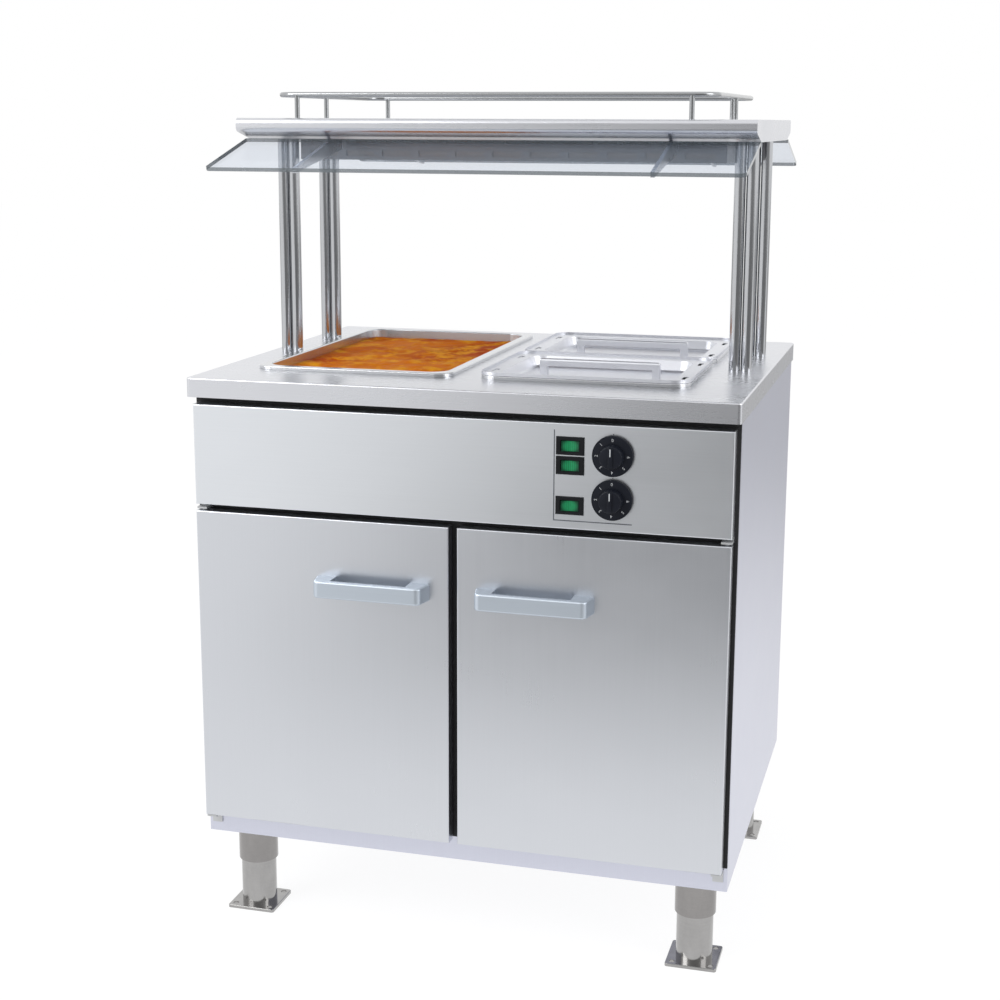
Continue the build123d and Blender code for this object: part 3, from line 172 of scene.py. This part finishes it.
class Graph:
    """The nodes of one finish or of the studio's sky."""

    def __init__(self, tree):
        self.tree = tree
        tree.nodes.clear()

    def node(self, kind, settings=None, inputs=None):
        made = self.tree.nodes.new(kind)
        for name, value in (settings or {}).items():
            setattr(made, name, value)
        for name, value in (inputs or {}).items():
            if isinstance(value, Wire):
                self.tree.links.new(value.socket, made.inputs[name])
            else:
                made.inputs[name].default_value = value
        return Wire(self, made.outputs[0]) if made.outputs else made

    def where(self):
        return self.node("ShaderNodeTexCoord").out("Object")

    def axes(self, vector):
        return self.node("ShaderNodeSeparateXYZ", None, {0: vector})

    def place(self, scale):
        return self.node("ShaderNodeMapping", None, {"Vector": self.where(), "Scale": scale})

    def noise(self, scale, detail=2.0, rough=0.5):
        return self.node("ShaderNodeTexNoise", None,
                         {"Vector": self.place(scale), "Scale": 1.0, "Detail": detail, "Roughness": rough})

    def ramp(self, value, low, high):
        return self.node("ShaderNodeMapRange", {"interpolation_type": "SMOOTHSTEP"},
                         {"Value": value, "From Min": low, "From Max": high})

    def tint(self, colour, tone):
        return self.node("ShaderNodeVectorMath", {"operation": "SCALE"}, {0: colour, "Scale": tone})

    def mix(self, amount, first, second):
        ends = [end if isinstance(end, Wire) else (*end, 1.0) for end in (first, second)]
        made = self.node("ShaderNodeMix", {"data_type": "RGBA"}, {0: amount, 6: ends[0], 7: ends[1]})
        return Wire(self, made.socket.node.outputs[2])

    def blend(self, amount, first, second):
        return self.node("ShaderNodeMixShader", None, {0: amount, 1: first, 2: second})

    def bump(self, height, strength, depth):
        return self.node("ShaderNodeBump", None, {"Height": height, "Strength": strength, "Distance": depth})

    def surface(self, inputs):
        return self.node("ShaderNodeBsdfPrincipled", None, inputs)

    def show(self, shader):
        self.node("ShaderNodeOutputMaterial", None, {"Surface": shader})


def finish_graph(name):
    """A new finish with an empty graph."""
    finish = bpy.data.materials.new(name)
    finish.use_nodes = True
    return finish, Graph(finish.node_tree)


GRAIN = {"X": (5.0, 620.0, 620.0), "Y": (620.0, 5.0, 620.0), "Z": (620.0, 620.0, 5.0)}


def brushed_steel(name, colour, rough, grain, streak=0.06, cloud=0.05, metal=1.0):
    """Satin sheet steel: a fine grain one way, faint clouds and handling marks."""
    finish, g = finish_graph(name)
    fine = g.noise(GRAIN[grain], 3.0)
    broad = g.noise((2.1, 2.1, 2.1), 2.0)
    smear = g.noise((7.0, 7.0, 11.0), 4.0, rough=0.65)
    tone = 1.0 + (fine - 0.5) * streak + (broad - 0.5) * cloud
    roughness = rough + (fine - 0.5) * 0.07 + (smear - 0.5) * 0.10
    g.show(g.surface({"Base Color": g.tint(colour, tone), "Metallic": metal, "Roughness": roughness,
                      "Normal": g.bump(fine, 0.02, 0.0002)}))
    return finish


def bright_steel(name, colour, rough):
    """Polished or bright-rolled steel with water marks and fine random scratches."""
    finish, g = finish_graph(name)
    marks = g.noise((38.0, 38.0, 38.0), 5.0, rough=0.7)
    broad = g.noise((5.0, 5.0, 5.0), 2.0)
    scratch = g.noise((900.0, 60.0, 300.0), 2.0)
    tone = 1.0 + (broad - 0.5) * 0.08 + (scratch - 0.5) * 0.05
    roughness = rough + (marks - 0.5) * 0.12 + (scratch - 0.5) * 0.05
    g.show(g.surface({"Base Color": g.tint(colour, tone), "Metallic": 1.0, "Roughness": roughness,
                      "Normal": g.bump(marks, 0.03, 0.0004)}))
    return finish


def turned_steel(name, colour, rough):
    """Round steel tube with fine rings from turning, and stains from mopped floors."""
    finish, g = finish_graph(name)
    rings = g.noise((40.0, 40.0, 900.0), 3.0)
    stain = g.noise((30.0, 30.0, 12.0), 4.0, rough=0.65)
    tone = 1.0 + (rings - 0.5) * 0.14 + (stain - 0.5) * 0.45
    g.show(g.surface({"Base Color": g.tint(colour, tone), "Metallic": 1.0,
                      "Roughness": rough + (stain - 0.5) * 0.12, "Normal": g.bump(rings, 0.04, 0.0002)}))
    return finish


def moulded_plastic(name, colour, rough, coat=0.0):
    """Moulded plastic with a fine spark-eroded texture and worn, lighter patches."""
    finish, g = finish_graph(name)
    grit = g.noise((2200.0, 2200.0, 2200.0), 2.0)
    worn = g.noise((45.0, 45.0, 45.0), 4.0, rough=0.6)
    tone = 1.0 + (worn - 0.5) * 0.5
    g.show(g.surface({"Base Color": g.tint(colour, tone), "Roughness": rough + (worn - 0.5) * 0.2,
                      "Specular IOR Level": 0.16, "Coat Weight": coat, "Normal": g.bump(grit, 0.12, 0.0002)}))
    return finish


def black_rubber(name):
    """Black rubber with a grey bloom and a gritty skin."""
    finish, g = finish_graph(name)
    bloom = g.noise((60.0, 60.0, 60.0), 4.0)
    grit = g.noise((1500.0, 1500.0, 1500.0), 2.0)
    g.show(g.surface({"Base Color": g.tint((0.012, 0.012, 0.014), 0.6 + bloom * 0.8),
                      "Roughness": 0.62 + (bloom - 0.5) * 0.25, "Normal": g.bump(grit, 0.15, 0.0003)}))
    return finish


def pane_glass(name, normal):
    """Clear toughened glass with a grey cut edge and a faint film of dust."""
    finish, g = finish_graph(name)
    facing = g.node("ShaderNodeNewGeometry").out("Normal")
    flat = g.node("ShaderNodeVectorMath", {"operation": "DOT_PRODUCT"}, {0: facing, 1: normal}).out("Value")
    edge = g.ramp(1.0 - abs(flat), 0.2, 0.5)
    dust = g.noise((16.0, 16.0, 16.0), 5.0, rough=0.7)
    shine = g.node("ShaderNodeFresnel", None, {"IOR": 1.5})
    body = g.surface({"Base Color": g.mix(edge, (0.60, 0.68, 0.76), (0.10, 0.12, 0.13)),
                      "Roughness": 0.05 + dust * 0.05, "Coat Weight": 0.3})
    through = g.node("ShaderNodeBsdfTransparent", None, {"Color": (0.92, 0.935, 0.96, 1.0)})
    amount = 0.01 + shine * 0.22 + edge * 0.75 + (dust - 0.5) * 0.02
    g.show(g.blend(amount, through, body))
    return finish


def lamp_glass(name):
    """Frosted quartz tube with heat-tinted ends."""
    finish, g = finish_graph(name)
    along = g.axes(g.where()).out("X")
    end = g.ramp(abs(along), LAMP_CAP_X - 4.0 * MM, LAMP_CAP_X + 2.0 * MM)
    frost = g.noise((160.0, 160.0, 160.0), 3.0)
    g.show(g.surface({"Base Color": g.mix(end, (0.80, 0.62, 0.52), (0.72, 0.70, 0.65)),
                      "Roughness": 0.30 + frost * 0.25, "Coat Weight": 0.4, "Normal": g.bump(frost, 0.1, 0.0003)}))
    return finish


def green_lens(name, node):
    """A translucent lens over a lamp: ribbed inside, lit in the middle, and darkened towards its edge by painted
    shade.
    """
    finish, g = finish_graph(name)
    low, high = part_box(node)
    spot = g.axes(g.where())
    across = abs(spot.out("X") - (low.x + high.x) / 2) * (2.0 / (high.x - low.x))
    upward = (spot.out("Z") - (low.z + high.z) / 2) * (2.0 / (high.z - low.z))
    # Painted shade: this mask darkens the lens towards its rim, in its colour and in its faint glow
    edge = g.ramp(across * across + upward * upward, 0.10, 1.1)
    ribs = g.node("ShaderNodeTexWave", {"wave_type": "BANDS", "bands_direction": "X"},
                  {"Vector": g.where(), "Scale": 110.0, "Distortion": 0.0})
    cloud = g.noise((240.0, 240.0, 240.0), 3.0)
    lit = g.mix(ribs, (0.005, 0.16, 0.055), (0.011, 0.28, 0.105))
    shade = g.mix(edge, lit, (0.002, 0.045, 0.020))
    g.show(g.surface({"Base Color": shade, "Roughness": 0.25 + cloud * 0.15, "Specular IOR Level": 0.25,
                      "Coat Weight": 0.2, "Emission Color": shade, "Emission Strength": 0.12,
                      "Normal": g.bump(ribs, 0.2, 0.0003)}))
    return finish


def baked_crust(name):
    """Baked tomato and cheese: browned ridges, moist hollows and dark flecks."""
    finish, g = finish_graph(name)
    lumps = g.noise((24.0, 24.0, 24.0), 6.0, rough=0.62)
    patch = g.noise((7.0, 7.0, 7.0), 3.0)
    fleck = g.noise((130.0, 130.0, 130.0), 3.0)
    height = g.axes(g.where()).out("Z")
    ridge = g.ramp(height, FOOD_LEVEL - 2.5 * MM, FOOD_LEVEL + 3.5 * MM)
    sauce = g.mix(g.ramp(patch, 0.36, 0.62), (0.52, 0.075, 0.001), (0.74, 0.190, 0.002))
    cheese = g.mix(g.ramp(lumps, 0.45, 0.63), sauce, (0.88, 0.36, 0.014))
    brown = g.mix(g.ramp(lumps + ridge * 0.2, 0.68, 0.90), cheese, (0.36, 0.055, 0.003))
    herb = g.mix(g.ramp(fleck, 0.72, 0.78), brown, (0.26, 0.10, 0.006))
    g.show(g.surface({"Base Color": herb, "Roughness": 0.55 + lumps * 0.25, "Specular IOR Level": 0.06,
                      "Coat Weight": g.ramp(patch, 0.5, 0.7) * 0.03,
                      "Normal": g.bump(lumps + fleck * 0.3, 0.45, 0.003)}))
    return finish


def print_ink(name, colour):
    """Screen-printed ink, worn a little uneven."""
    finish, g = finish_graph(name)
    worn = g.noise((400.0, 400.0, 400.0), 3.0)
    g.show(g.surface({"Base Color": g.tint(colour, 0.85 + worn * 0.3), "Roughness": 0.5 + worn * 0.1}))
    return finish


WORKTOP_FINISH = brushed_steel("worktop_satin", (0.71, 0.72, 0.755), 0.28, "X")
SIDE_FINISH = brushed_steel("side_satin", (0.67, 0.685, 0.785), 0.32, "Z", metal=0.85)
PANEL_FINISH = brushed_steel("panel_satin", (0.79, 0.815, 0.85), 0.31, "X", streak=0.04)
DOOR_FINISH = brushed_steel("door_satin", (0.69, 0.71, 0.75), 0.30, "Z", streak=0.04)
SHELF_FINISH = brushed_steel("shelf_satin", (0.68, 0.69, 0.725), 0.28, "X")
# Painted shade: the lamp box's steel is made dark to stand for the shade under the shelf
LAMP_BOX_SHADE_FINISH = brushed_steel("lamp_box_painted_shade", (0.20, 0.20, 0.21), 0.38, "X", cloud=0.2)
INNER_FINISH = brushed_steel("inner_mill", (0.60, 0.61, 0.62), 0.40, "X", cloud=0.12, metal=0.55)
LEG_FINISH = turned_steel("leg_turned", (0.31, 0.30, 0.295), 0.16)
FOOT_FINISH = turned_steel("foot_turned", (0.40, 0.395, 0.39), 0.16)
POST_FINISH = bright_steel("post_polish", (0.54, 0.55, 0.57), 0.14)
RAIL_FINISH = bright_steel("rail_polish", (0.42, 0.43, 0.44), 0.18)
PAN_FINISH = bright_steel("pan_bright", (0.66, 0.67, 0.69), 0.22)
LID_FINISH = brushed_steel("lid_satin", (0.80, 0.81, 0.85), 0.40, "X", streak=0.03, cloud=0.06)
HANDLE_FINISH = brushed_steel("handle_satin", (0.60, 0.66, 0.73), 0.42, "X", streak=0.04, cloud=0.04)
# Black rubber: the door gaskets are real, and the seal on the carcass front also stands as painted shade in the
# gaps round the doors
SEAL_AND_GAP_SHADE_FINISH = black_rubber("seal_rubber_gap_shade")
CASE_FINISH = moulded_plastic("case_black", (0.010, 0.011, 0.013), 0.50)
DIAL_FINISH = moulded_plastic("dial_black", (0.010, 0.012, 0.019), 0.42, coat=0.05)
LAMP_FINISH = lamp_glass("lamp_quartz")
HOT_FINISH = brushed_steel("element_dark", (0.24, 0.22, 0.21), 0.45, "Y", streak=0.2, cloud=0.3)
BRASS_FINISH = bright_steel("valve_plated", (0.62, 0.52, 0.33), 0.26)
FRONT_GLASS = pane_glass("front_pane", (0.0, -math.sin(PANE_TILT), math.cos(PANE_TILT)))
REAR_GLASS = pane_glass("rear_pane", (0.0, math.sin(PANE_TILT), math.cos(PANE_TILT)))
FOOD_FINISH = baked_crust("baked_crust")
INK = print_ink("grey_ink", (0.10, 0.11, 0.13))
FIGURE_INK = print_ink("pale_ink", (0.62, 0.64, 0.66))

FINISHES = {
    WORKTOP_FINISH: ["worktop"],
    SIDE_FINISH: ["left_side_panel", "right_side_panel", "base_tray"],
    PANEL_FINISH: ["control_panel", "back_panel"],
    DOOR_FINISH: ["left_door_skin", "right_door_skin", "left_door_liner", "right_door_liner"],
    SHELF_FINISH: ["overshelf", "glass_arms"],
    LAMP_BOX_SHADE_FINISH: ["lamp_box"],
    INNER_FINISH: ["left_well", "right_well", "well_deck", "front_rails", "centre_mullion", "cupboard_shelf",
                   "cupboard_heater", "post_plates", "hinge_brackets", "drain_pipe", "back_panel_screws"],
    LEG_FINISH: ["leg_sleeves"],
    FOOT_FINISH: ["front_left_foot", "rear_left_foot", "front_right_foot", "rear_right_foot"],
    POST_FINISH: ["shelf_posts"],
    RAIL_FINISH: ["gallery_rail", "gallery_posts", "lamp_guard"],
    PAN_FINISH: ["full_pan", "front_pan", "rear_pan"],
    LID_FINISH: ["front_lid", "rear_lid"],
    HANDLE_FINISH: ["left_door_handle", "right_door_handle"],
    SEAL_AND_GAP_SHADE_FINISH: ["front_seal", "left_door_gasket", "right_door_gasket"],
    CASE_FINISH: ["switch_housings", "terminal_box", "cable_gland", "drain_lever"],
    DIAL_FINISH: ["well_dial", "cupboard_dial"],
    LAMP_FINISH: ["heat_lamps"],
    HOT_FINISH: ["heating_elements", "thermostats"],
    BRASS_FINISH: ["drain_valve"],
    FRONT_GLASS: ["front_glass"],
    REAR_GLASS: ["rear_glass"],
    FOOD_FINISH: ["baked_dish"],
}
for switch in ("upper", "middle", "lower"):
    FINISHES[green_lens(switch + "_lens", switch + "_rocker")] = [switch + "_rocker"]
for material, names in FINISHES.items():
    for name in names:
        NODES[name].data.materials.clear()
        NODES[name].data.materials.append(material)


def deselect():
    bpy.ops.object.select_all(action="DESELECT")


def choose(piece):
    """Selects one piece alone and makes it the active one."""
    deselect()
    piece.select_set(True)
    bpy.context.view_layer.objects.active = piece


def settle(piece):
    """Puts a piece's place, turn and size into its mesh."""
    choose(piece)
    bpy.ops.object.transform_apply(location=True, rotation=True, scale=True)


def block(place, size):
    """A block of a size, with its middle at a place."""
    deselect()
    bpy.ops.mesh.primitive_cube_add(size=1.0, location=place)
    piece = bpy.context.object
    piece.scale = size
    settle(piece)
    return piece


def joined(base, others):
    """Makes other pieces part of a base piece."""
    choose(base)
    for other in others:
        other.select_set(True)
    bpy.ops.object.join()
    return base


def dress(piece, name, material, body):
    """Gives a finished piece its name and finish, and the body that carries it."""
    piece.name = name
    piece.data.name = name
    piece.data.materials.clear()
    piece.data.materials.append(material)
    settle(piece)
    bpy.ops.object.shade_smooth_by_angle(angle=SMOOTH_ANGLE)
    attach(piece, body)


def in_edit(piece, mode):
    choose(piece)
    bpy.ops.object.mode_set(mode="EDIT")
    bpy.ops.mesh.select_mode(type=mode)
    bpy.ops.mesh.select_all(action="DESELECT")


def leave_edit():
    bpy.ops.object.mode_set(mode="OBJECT")


def pick(piece, elements, test):
    """Selects the faces or edges that pass a test on their middle, from edit mode."""
    bpy.ops.object.mode_set(mode="OBJECT")
    points = piece.data.vertices
    for element in getattr(piece.data, elements):
        middle = sum((points[v].co for v in element.vertices), Vector()) / len(element.vertices)
        element.select = test(middle, element)
    bpy.ops.object.mode_set(mode="EDIT")


def pick_top(piece):
    """Opens a piece in edit mode with the faces selected that face up."""
    in_edit(piece, "FACE")
    pick(piece, "polygons", lambda middle, face: face.normal.z > 0.9)


def extrude(step):
    bpy.ops.mesh.extrude_region_move(TRANSFORM_OT_translate={"value": step})


def ease(piece, test, offset, segments=3):
    """Rounds the edges whose middle passes a test."""
    in_edit(piece, "EDGE")
    pick(piece, "edges", lambda middle, edge: test(middle))
    bpy.ops.mesh.bevel(offset=offset, segments=segments, affect="EDGES")
    leave_edit()


def facing_front(piece, x, y, z):
    """Turns a piece that was modelled facing up so that it faces the front, at a place on the panel."""
    piece.rotation_euler = (math.radians(90), 0, 0)
    piece.location = (x, y, z)
    settle(piece)


def camera():
    yaw = math.radians(CAMERA_YAW)
    pitch = math.radians(CAMERA_PITCH)
    roll = math.radians(CAMERA_ROLL)
    ahead = Vector((-math.sin(yaw) * math.cos(pitch), math.cos(yaw) * math.cos(pitch), -math.sin(pitch)))
    right = Vector((math.cos(yaw), math.sin(yaw), 0.0))
    up = right.cross(ahead)
    tilted = right * math.cos(roll) + up * math.sin(roll)
    up = tilted.cross(ahead)
    data = bpy.data.cameras.new("camera")
    data.lens = CAMERA_LENS
    data.sensor_width = SENSOR
    data.shift_y = CAMERA_RISE
    eye = bpy.data.objects.new("camera", data)
    turn = Matrix((tilted, up, -ahead)).transposed()
    eye.matrix_world = Matrix.Translation(CAMERA_PLACE) @ turn.to_4x4()
    bpy.context.scene.collection.objects.link(eye)
    bpy.context.scene.camera = eye


def sky():
    """A white studio: plain light on matt surfaces, and a room in the metal that is darker at the front."""
    world = bpy.data.worlds.new("studio")
    world.use_nodes = True
    bpy.context.scene.world = world
    g = Graph(world.node_tree)
    ray = g.node("ShaderNodeLightPath")
    side = g.axes(g.node("ShaderNodeTexCoord").out("Generated"))
    front = g.ramp(side.out("Y"), -0.30, -0.85)
    left = g.ramp(side.out("X"), -0.10, -0.55)
    above = g.ramp(side.out("Z"), 0.30, 0.75)
    room = 1.0 - front * 0.68 * (1.0 - left) * (1.0 - above)
    glossy = ray.out("Is Glossy Ray")
    seen = ray.out("Is Camera Ray") + ray.out("Is Transmission Ray") * (1.0 - ray.out("Is Camera Ray"))
    strength = seen + (1.0 - seen) * (glossy * room + (1.0 - glossy) * 0.62)
    light = g.node("ShaderNodeBackground", None, {"Color": (1.0, 1.0, 1.0, 1.0), "Strength": strength})
    g.node("ShaderNodeOutputWorld", None, {"Surface": light})


def floor():
    """A white floor that keeps a faint shadow, and looks darker in the metal farther out."""
    bpy.ops.mesh.primitive_plane_add(size=40.0, location=(0, 0, 0))
    ground = bpy.context.object
    ground.name = "studio_floor"
    finish, g = finish_graph("studio_floor")
    ray = g.node("ShaderNodeLightPath")
    spot = g.axes(g.where())
    far = g.ramp(spot.out("Y"), -0.9, -2.7)
    right = g.ramp(spot.out("X"), -1.3, -0.5)
    behind = g.ramp(spot.out("Y"), 0.3, 4.5)
    mirrored = 1.0 - far * right * 0.82 - behind * 0.50
    matt = g.surface({"Base Color": (0.86, 0.86, 0.87, 1.0), "Roughness": 0.9})
    seen = ray.out("Is Camera Ray")
    glossy = ray.out("Is Glossy Ray")
    glow = g.node("ShaderNodeEmission", None,
                  {"Color": (1.0, 1.0, 1.0, 1.0), "Strength": seen * 1.11 + (1.0 - seen) * mirrored})
    g.show(g.blend(seen * 0.80 + (1.0 - seen) * glossy * 0.9, matt, glow))
    ground.data.materials.append(finish)


def soft_light(name, place, aim, size, watts):
    data = bpy.data.lights.new(name, "AREA")
    data.shape = "RECTANGLE"
    data.size, data.size_y = size
    data.energy = watts
    lamp = bpy.data.objects.new(name, data)
    lamp.location = place
    lamp.rotation_euler = (Vector(aim) - Vector(place)).to_track_quat("-Z", "Y").to_euler()
    bpy.context.scene.collection.objects.link(lamp)


def studio():
    sky()
    floor()
    soft_light("key_light", (-2.6, -2.8, 3.0), (0.0, 0.0, 0.8), (2.2, 2.2), 70.0)
    soft_light("fill_light", (3.2, -1.2, 2.4), (0.0, 0.0, 0.7), (2.0, 2.0), 28.0)


def food():
    """A baked dish: a lumpy top inside the pan's rounded walls, closed below."""
    low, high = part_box("baked_dish")
    middle = (low + high) / 2
    half = (high - low) / 2
    deselect()
    bpy.ops.mesh.primitive_grid_add(x_subdivisions=FOOD_COLUMNS, y_subdivisions=FOOD_ROWS, size=2.0,
                                    location=(middle.x, middle.y, high.z))
    piece = bpy.context.object
    piece.scale = (half.x, half.y, 1.0)
    settle(piece)
    for vertex in piece.data.vertices:
        spot = vertex.co
        out_x = abs(spot.x - middle.x) - (half.x - FOOD_CORNER)
        out_y = abs(spot.y - middle.y) - (half.y - FOOD_CORNER)
        if out_x > 0 and out_y > 0:
            pull = max(out_x, out_y) / math.hypot(out_x, out_y)
            spot.x -= math.copysign(out_x * (1.0 - pull), spot.x - middle.x)
            spot.y -= math.copysign(out_y * (1.0 - pull), spot.y - middle.y)
        edge = min(half.x - abs(spot.x - middle.x), half.y - abs(spot.y - middle.y)) / FOOD_EDGE
        lumps = noise.fractal(spot * LUMP_PITCH, 1.0, 2.0, 5) * LUMP_HEIGHT
        ridges = abs(noise.noise(spot * RIDGE_PITCH)) * RIDGE_DEPTH
        calm = min(1.0, FOOD_EDGE_LUMPS + (1.0 - FOOD_EDGE_LUMPS) * max(0.0, edge))
        spot.z += (lumps - ridges) * calm - FOOD_SINK
    in_edit(piece, "EDGE")
    bpy.ops.mesh.select_non_manifold()
    extrude((0, 0, -FOOD_DEPTH))
    bpy.ops.transform.resize(value=(1.0 - FOOD_TAPER / half.x, 1.0 - FOOD_TAPER / half.y, 1.0),
                             center_override=middle)
    bpy.ops.mesh.edge_face_add()
    bpy.ops.mesh.select_all(action="SELECT")
    bpy.ops.mesh.normals_make_consistent(inside=False)
    leave_edit()
    dress(piece, "baked_food", FOOD_FINISH, "full_size_pan")
    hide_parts("baked_dish")


def lamp_screens():
    """Dark folded strips behind the slots of the lamp box, put there as painted shade so that the slots look dark.
    """
    low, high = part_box("lamp_box")
    middle = (low + high) / 2
    size = (high.x - low.x - SCREEN_MARGIN, SCREEN_SHEET, high.z - low.z - SCREEN_MARGIN)
    strips = []
    for y, fold in ((low.y + SCREEN_INSET, SCREEN_FOLD), (high.y - SCREEN_INSET, -SCREEN_FOLD)):
        # Each strip is a dark sheet that stands in for the shade behind the slots
        strip = block((middle.x, y, middle.z), size)
        pick_top(strip)
        extrude((0, fold, SCREEN_SHEET))
        leave_edit()
        strips.append(strip)
    screens = joined(strips[0], strips[1:])
    dress(screens, "lamp_screens", HOT_FINISH, "cabinet")


def dial_skirt():
    deselect()
    bpy.ops.mesh.primitive_cylinder_add(vertices=96, radius=SKIRT_RADIUS, depth=SKIRT_DEPTH,
                                        location=(0, 0, SKIRT_DEPTH / 2))
    skirt = bpy.context.object
    settle(skirt)
    pick_top(skirt)
    bpy.ops.mesh.inset(thickness=SKIRT_LIP, depth=0.0)
    bpy.ops.mesh.inset(thickness=BAND_WIDTH, depth=BAND_RISE)
    extrude((0, 0, STEP_RISE))
    bpy.ops.mesh.inset(thickness=STEP_WIDTH, depth=0.0)
    leave_edit()
    return skirt


def dial_grip():
    """A grip that narrows towards its top, with shallow flutes around it."""
    deselect()
    bpy.ops.mesh.primitive_cylinder_add(vertices=80, radius=GRIP_RADIUS, depth=GRIP_HEIGHT,
                                        location=(0, 0, GRIP_LOW + GRIP_HEIGHT / 2))
    grip = bpy.context.object
    settle(grip)
    for vertex in grip.data.vertices:
        turn = math.atan2(vertex.co.y, vertex.co.x)
        flute = 1.0 - FLUTE_DEPTH * (0.5 + 0.5 * math.cos(turn * FLUTES))
        narrow = 1.0 - GRIP_TAPER * (vertex.co.z - GRIP_LOW) / GRIP_HEIGHT
        vertex.co.x *= flute * narrow
        vertex.co.y *= flute * narrow
    ease(grip, lambda middle: middle.z > GRIP_TOP - 0.1 * MM and middle.xy.length > 10.0 * MM, GRIP_EASE)
    return grip


def dial_rib():
    rib = block((0, 0, GRIP_TOP + RIB_RISE), RIB_SIZE)
    ease(rib, lambda middle: middle.z > GRIP_TOP, RIB_EASE)
    return rib


def dial_figure(count):
    """One figure of the scale, standing around the grip."""
    turn = math.radians(90.0 + FIGURE_STEP * count)
    deselect()
    bpy.ops.object.text_add(location=(0, 0, 0))
    letters = bpy.context.object.data
    letters.body = str(count)
    letters.size = FIGURE_SIZE
    letters.extrude = FIGURE_THICKNESS
    letters.align_x = "CENTER"
    letters.align_y = "CENTER"
    bpy.ops.object.convert(target="MESH")
    figure = bpy.context.object
    figure.location = (FIGURE_RADIUS * math.cos(turn), FIGURE_RADIUS * math.sin(turn), FIGURE_RISE)
    figure.rotation_euler = (0, 0, turn - math.radians(90))
    settle(figure)
    return figure


def dial_pointer():
    line = block((0, POINTER_REACH, GRIP_TOP + POINTER_RISE), POINTER_SIZE)
    ease(line, lambda middle: middle.z > GRIP_TOP + POINTER_RISE + 0.05 * MM, POINTER_EASE, segments=2)
    return line


def knob(name, z, body, node):
    """A skirted dial with a fluted grip, a pointer rib and plain figures."""
    y = PANEL_FACE_Y - DIAL_GAP
    skirt = joined(dial_skirt(), [dial_grip(), dial_rib()])
    facing_front(skirt, DIAL_X, y, z)
    dress(skirt, name + "_dial_knob", DIAL_FINISH, body)
    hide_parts(node)
    figures = [dial_figure(count) for count in range(FIGURES)]
    line = joined(dial_pointer(), figures)
    facing_front(line, DIAL_X, y, z)
    dress(line, name + "_dial_figures", FIGURE_INK, body)


def panel_print():
    """A thin printed line beside and below the controls, with a mark above each dial."""
    x_low, x_high = DIAL_X - PRINT_LEFT, DIAL_X + PRINT_RIGHT
    z_low, z_high = CUPBOARD_DIAL_Z - PRINT_BELOW, WELL_DIAL_Z + PRINT_ABOVE
    y = PANEL_FACE_Y - PRINT_LIFT
    half_width = PRINT_WIDTH / 2
    bars = [((x_low + half_width, (z_low + z_high) / 2), (PRINT_WIDTH, z_high - z_low)),
            (((x_low + x_high) / 2 + half_width, z_low + half_width), (x_high - x_low - PRINT_WIDTH, PRINT_WIDTH))]
    parts = []
    for (x, z), (size_x, size_z) in bars:
        bar = block((0, 0, PRINT_THICKNESS / 2), (size_x, size_z, PRINT_THICKNESS))
        facing_front(bar, x, y, z)
        parts.append(bar)
    for z in (WELL_DIAL_Z, CUPBOARD_DIAL_Z):
        deselect()
        bpy.ops.mesh.primitive_cone_add(vertices=3, radius1=MARK_RADIUS, radius2=MARK_RADIUS, depth=PRINT_THICKNESS,
                                        location=(0, 0, PRINT_THICKNESS / 2), rotation=(0, 0, math.radians(180)))
        mark = bpy.context.object
        settle(mark)
        facing_front(mark, DIAL_X, y, z + MARK_RISE)
        parts.append(mark)
    lines = joined(parts[0], parts[1:])
    dress(lines, "panel_print", INK, "cabinet")


bpy.context.scene.view_settings.view_transform = "Standard"
camera()
studio()
food()
lamp_screens()
knob("well", WELL_DIAL_Z, "well_knob", "well_dial")
knob("cupboard", CUPBOARD_DIAL_Z, "cupboard_knob", "cupboard_dial")
panel_print()
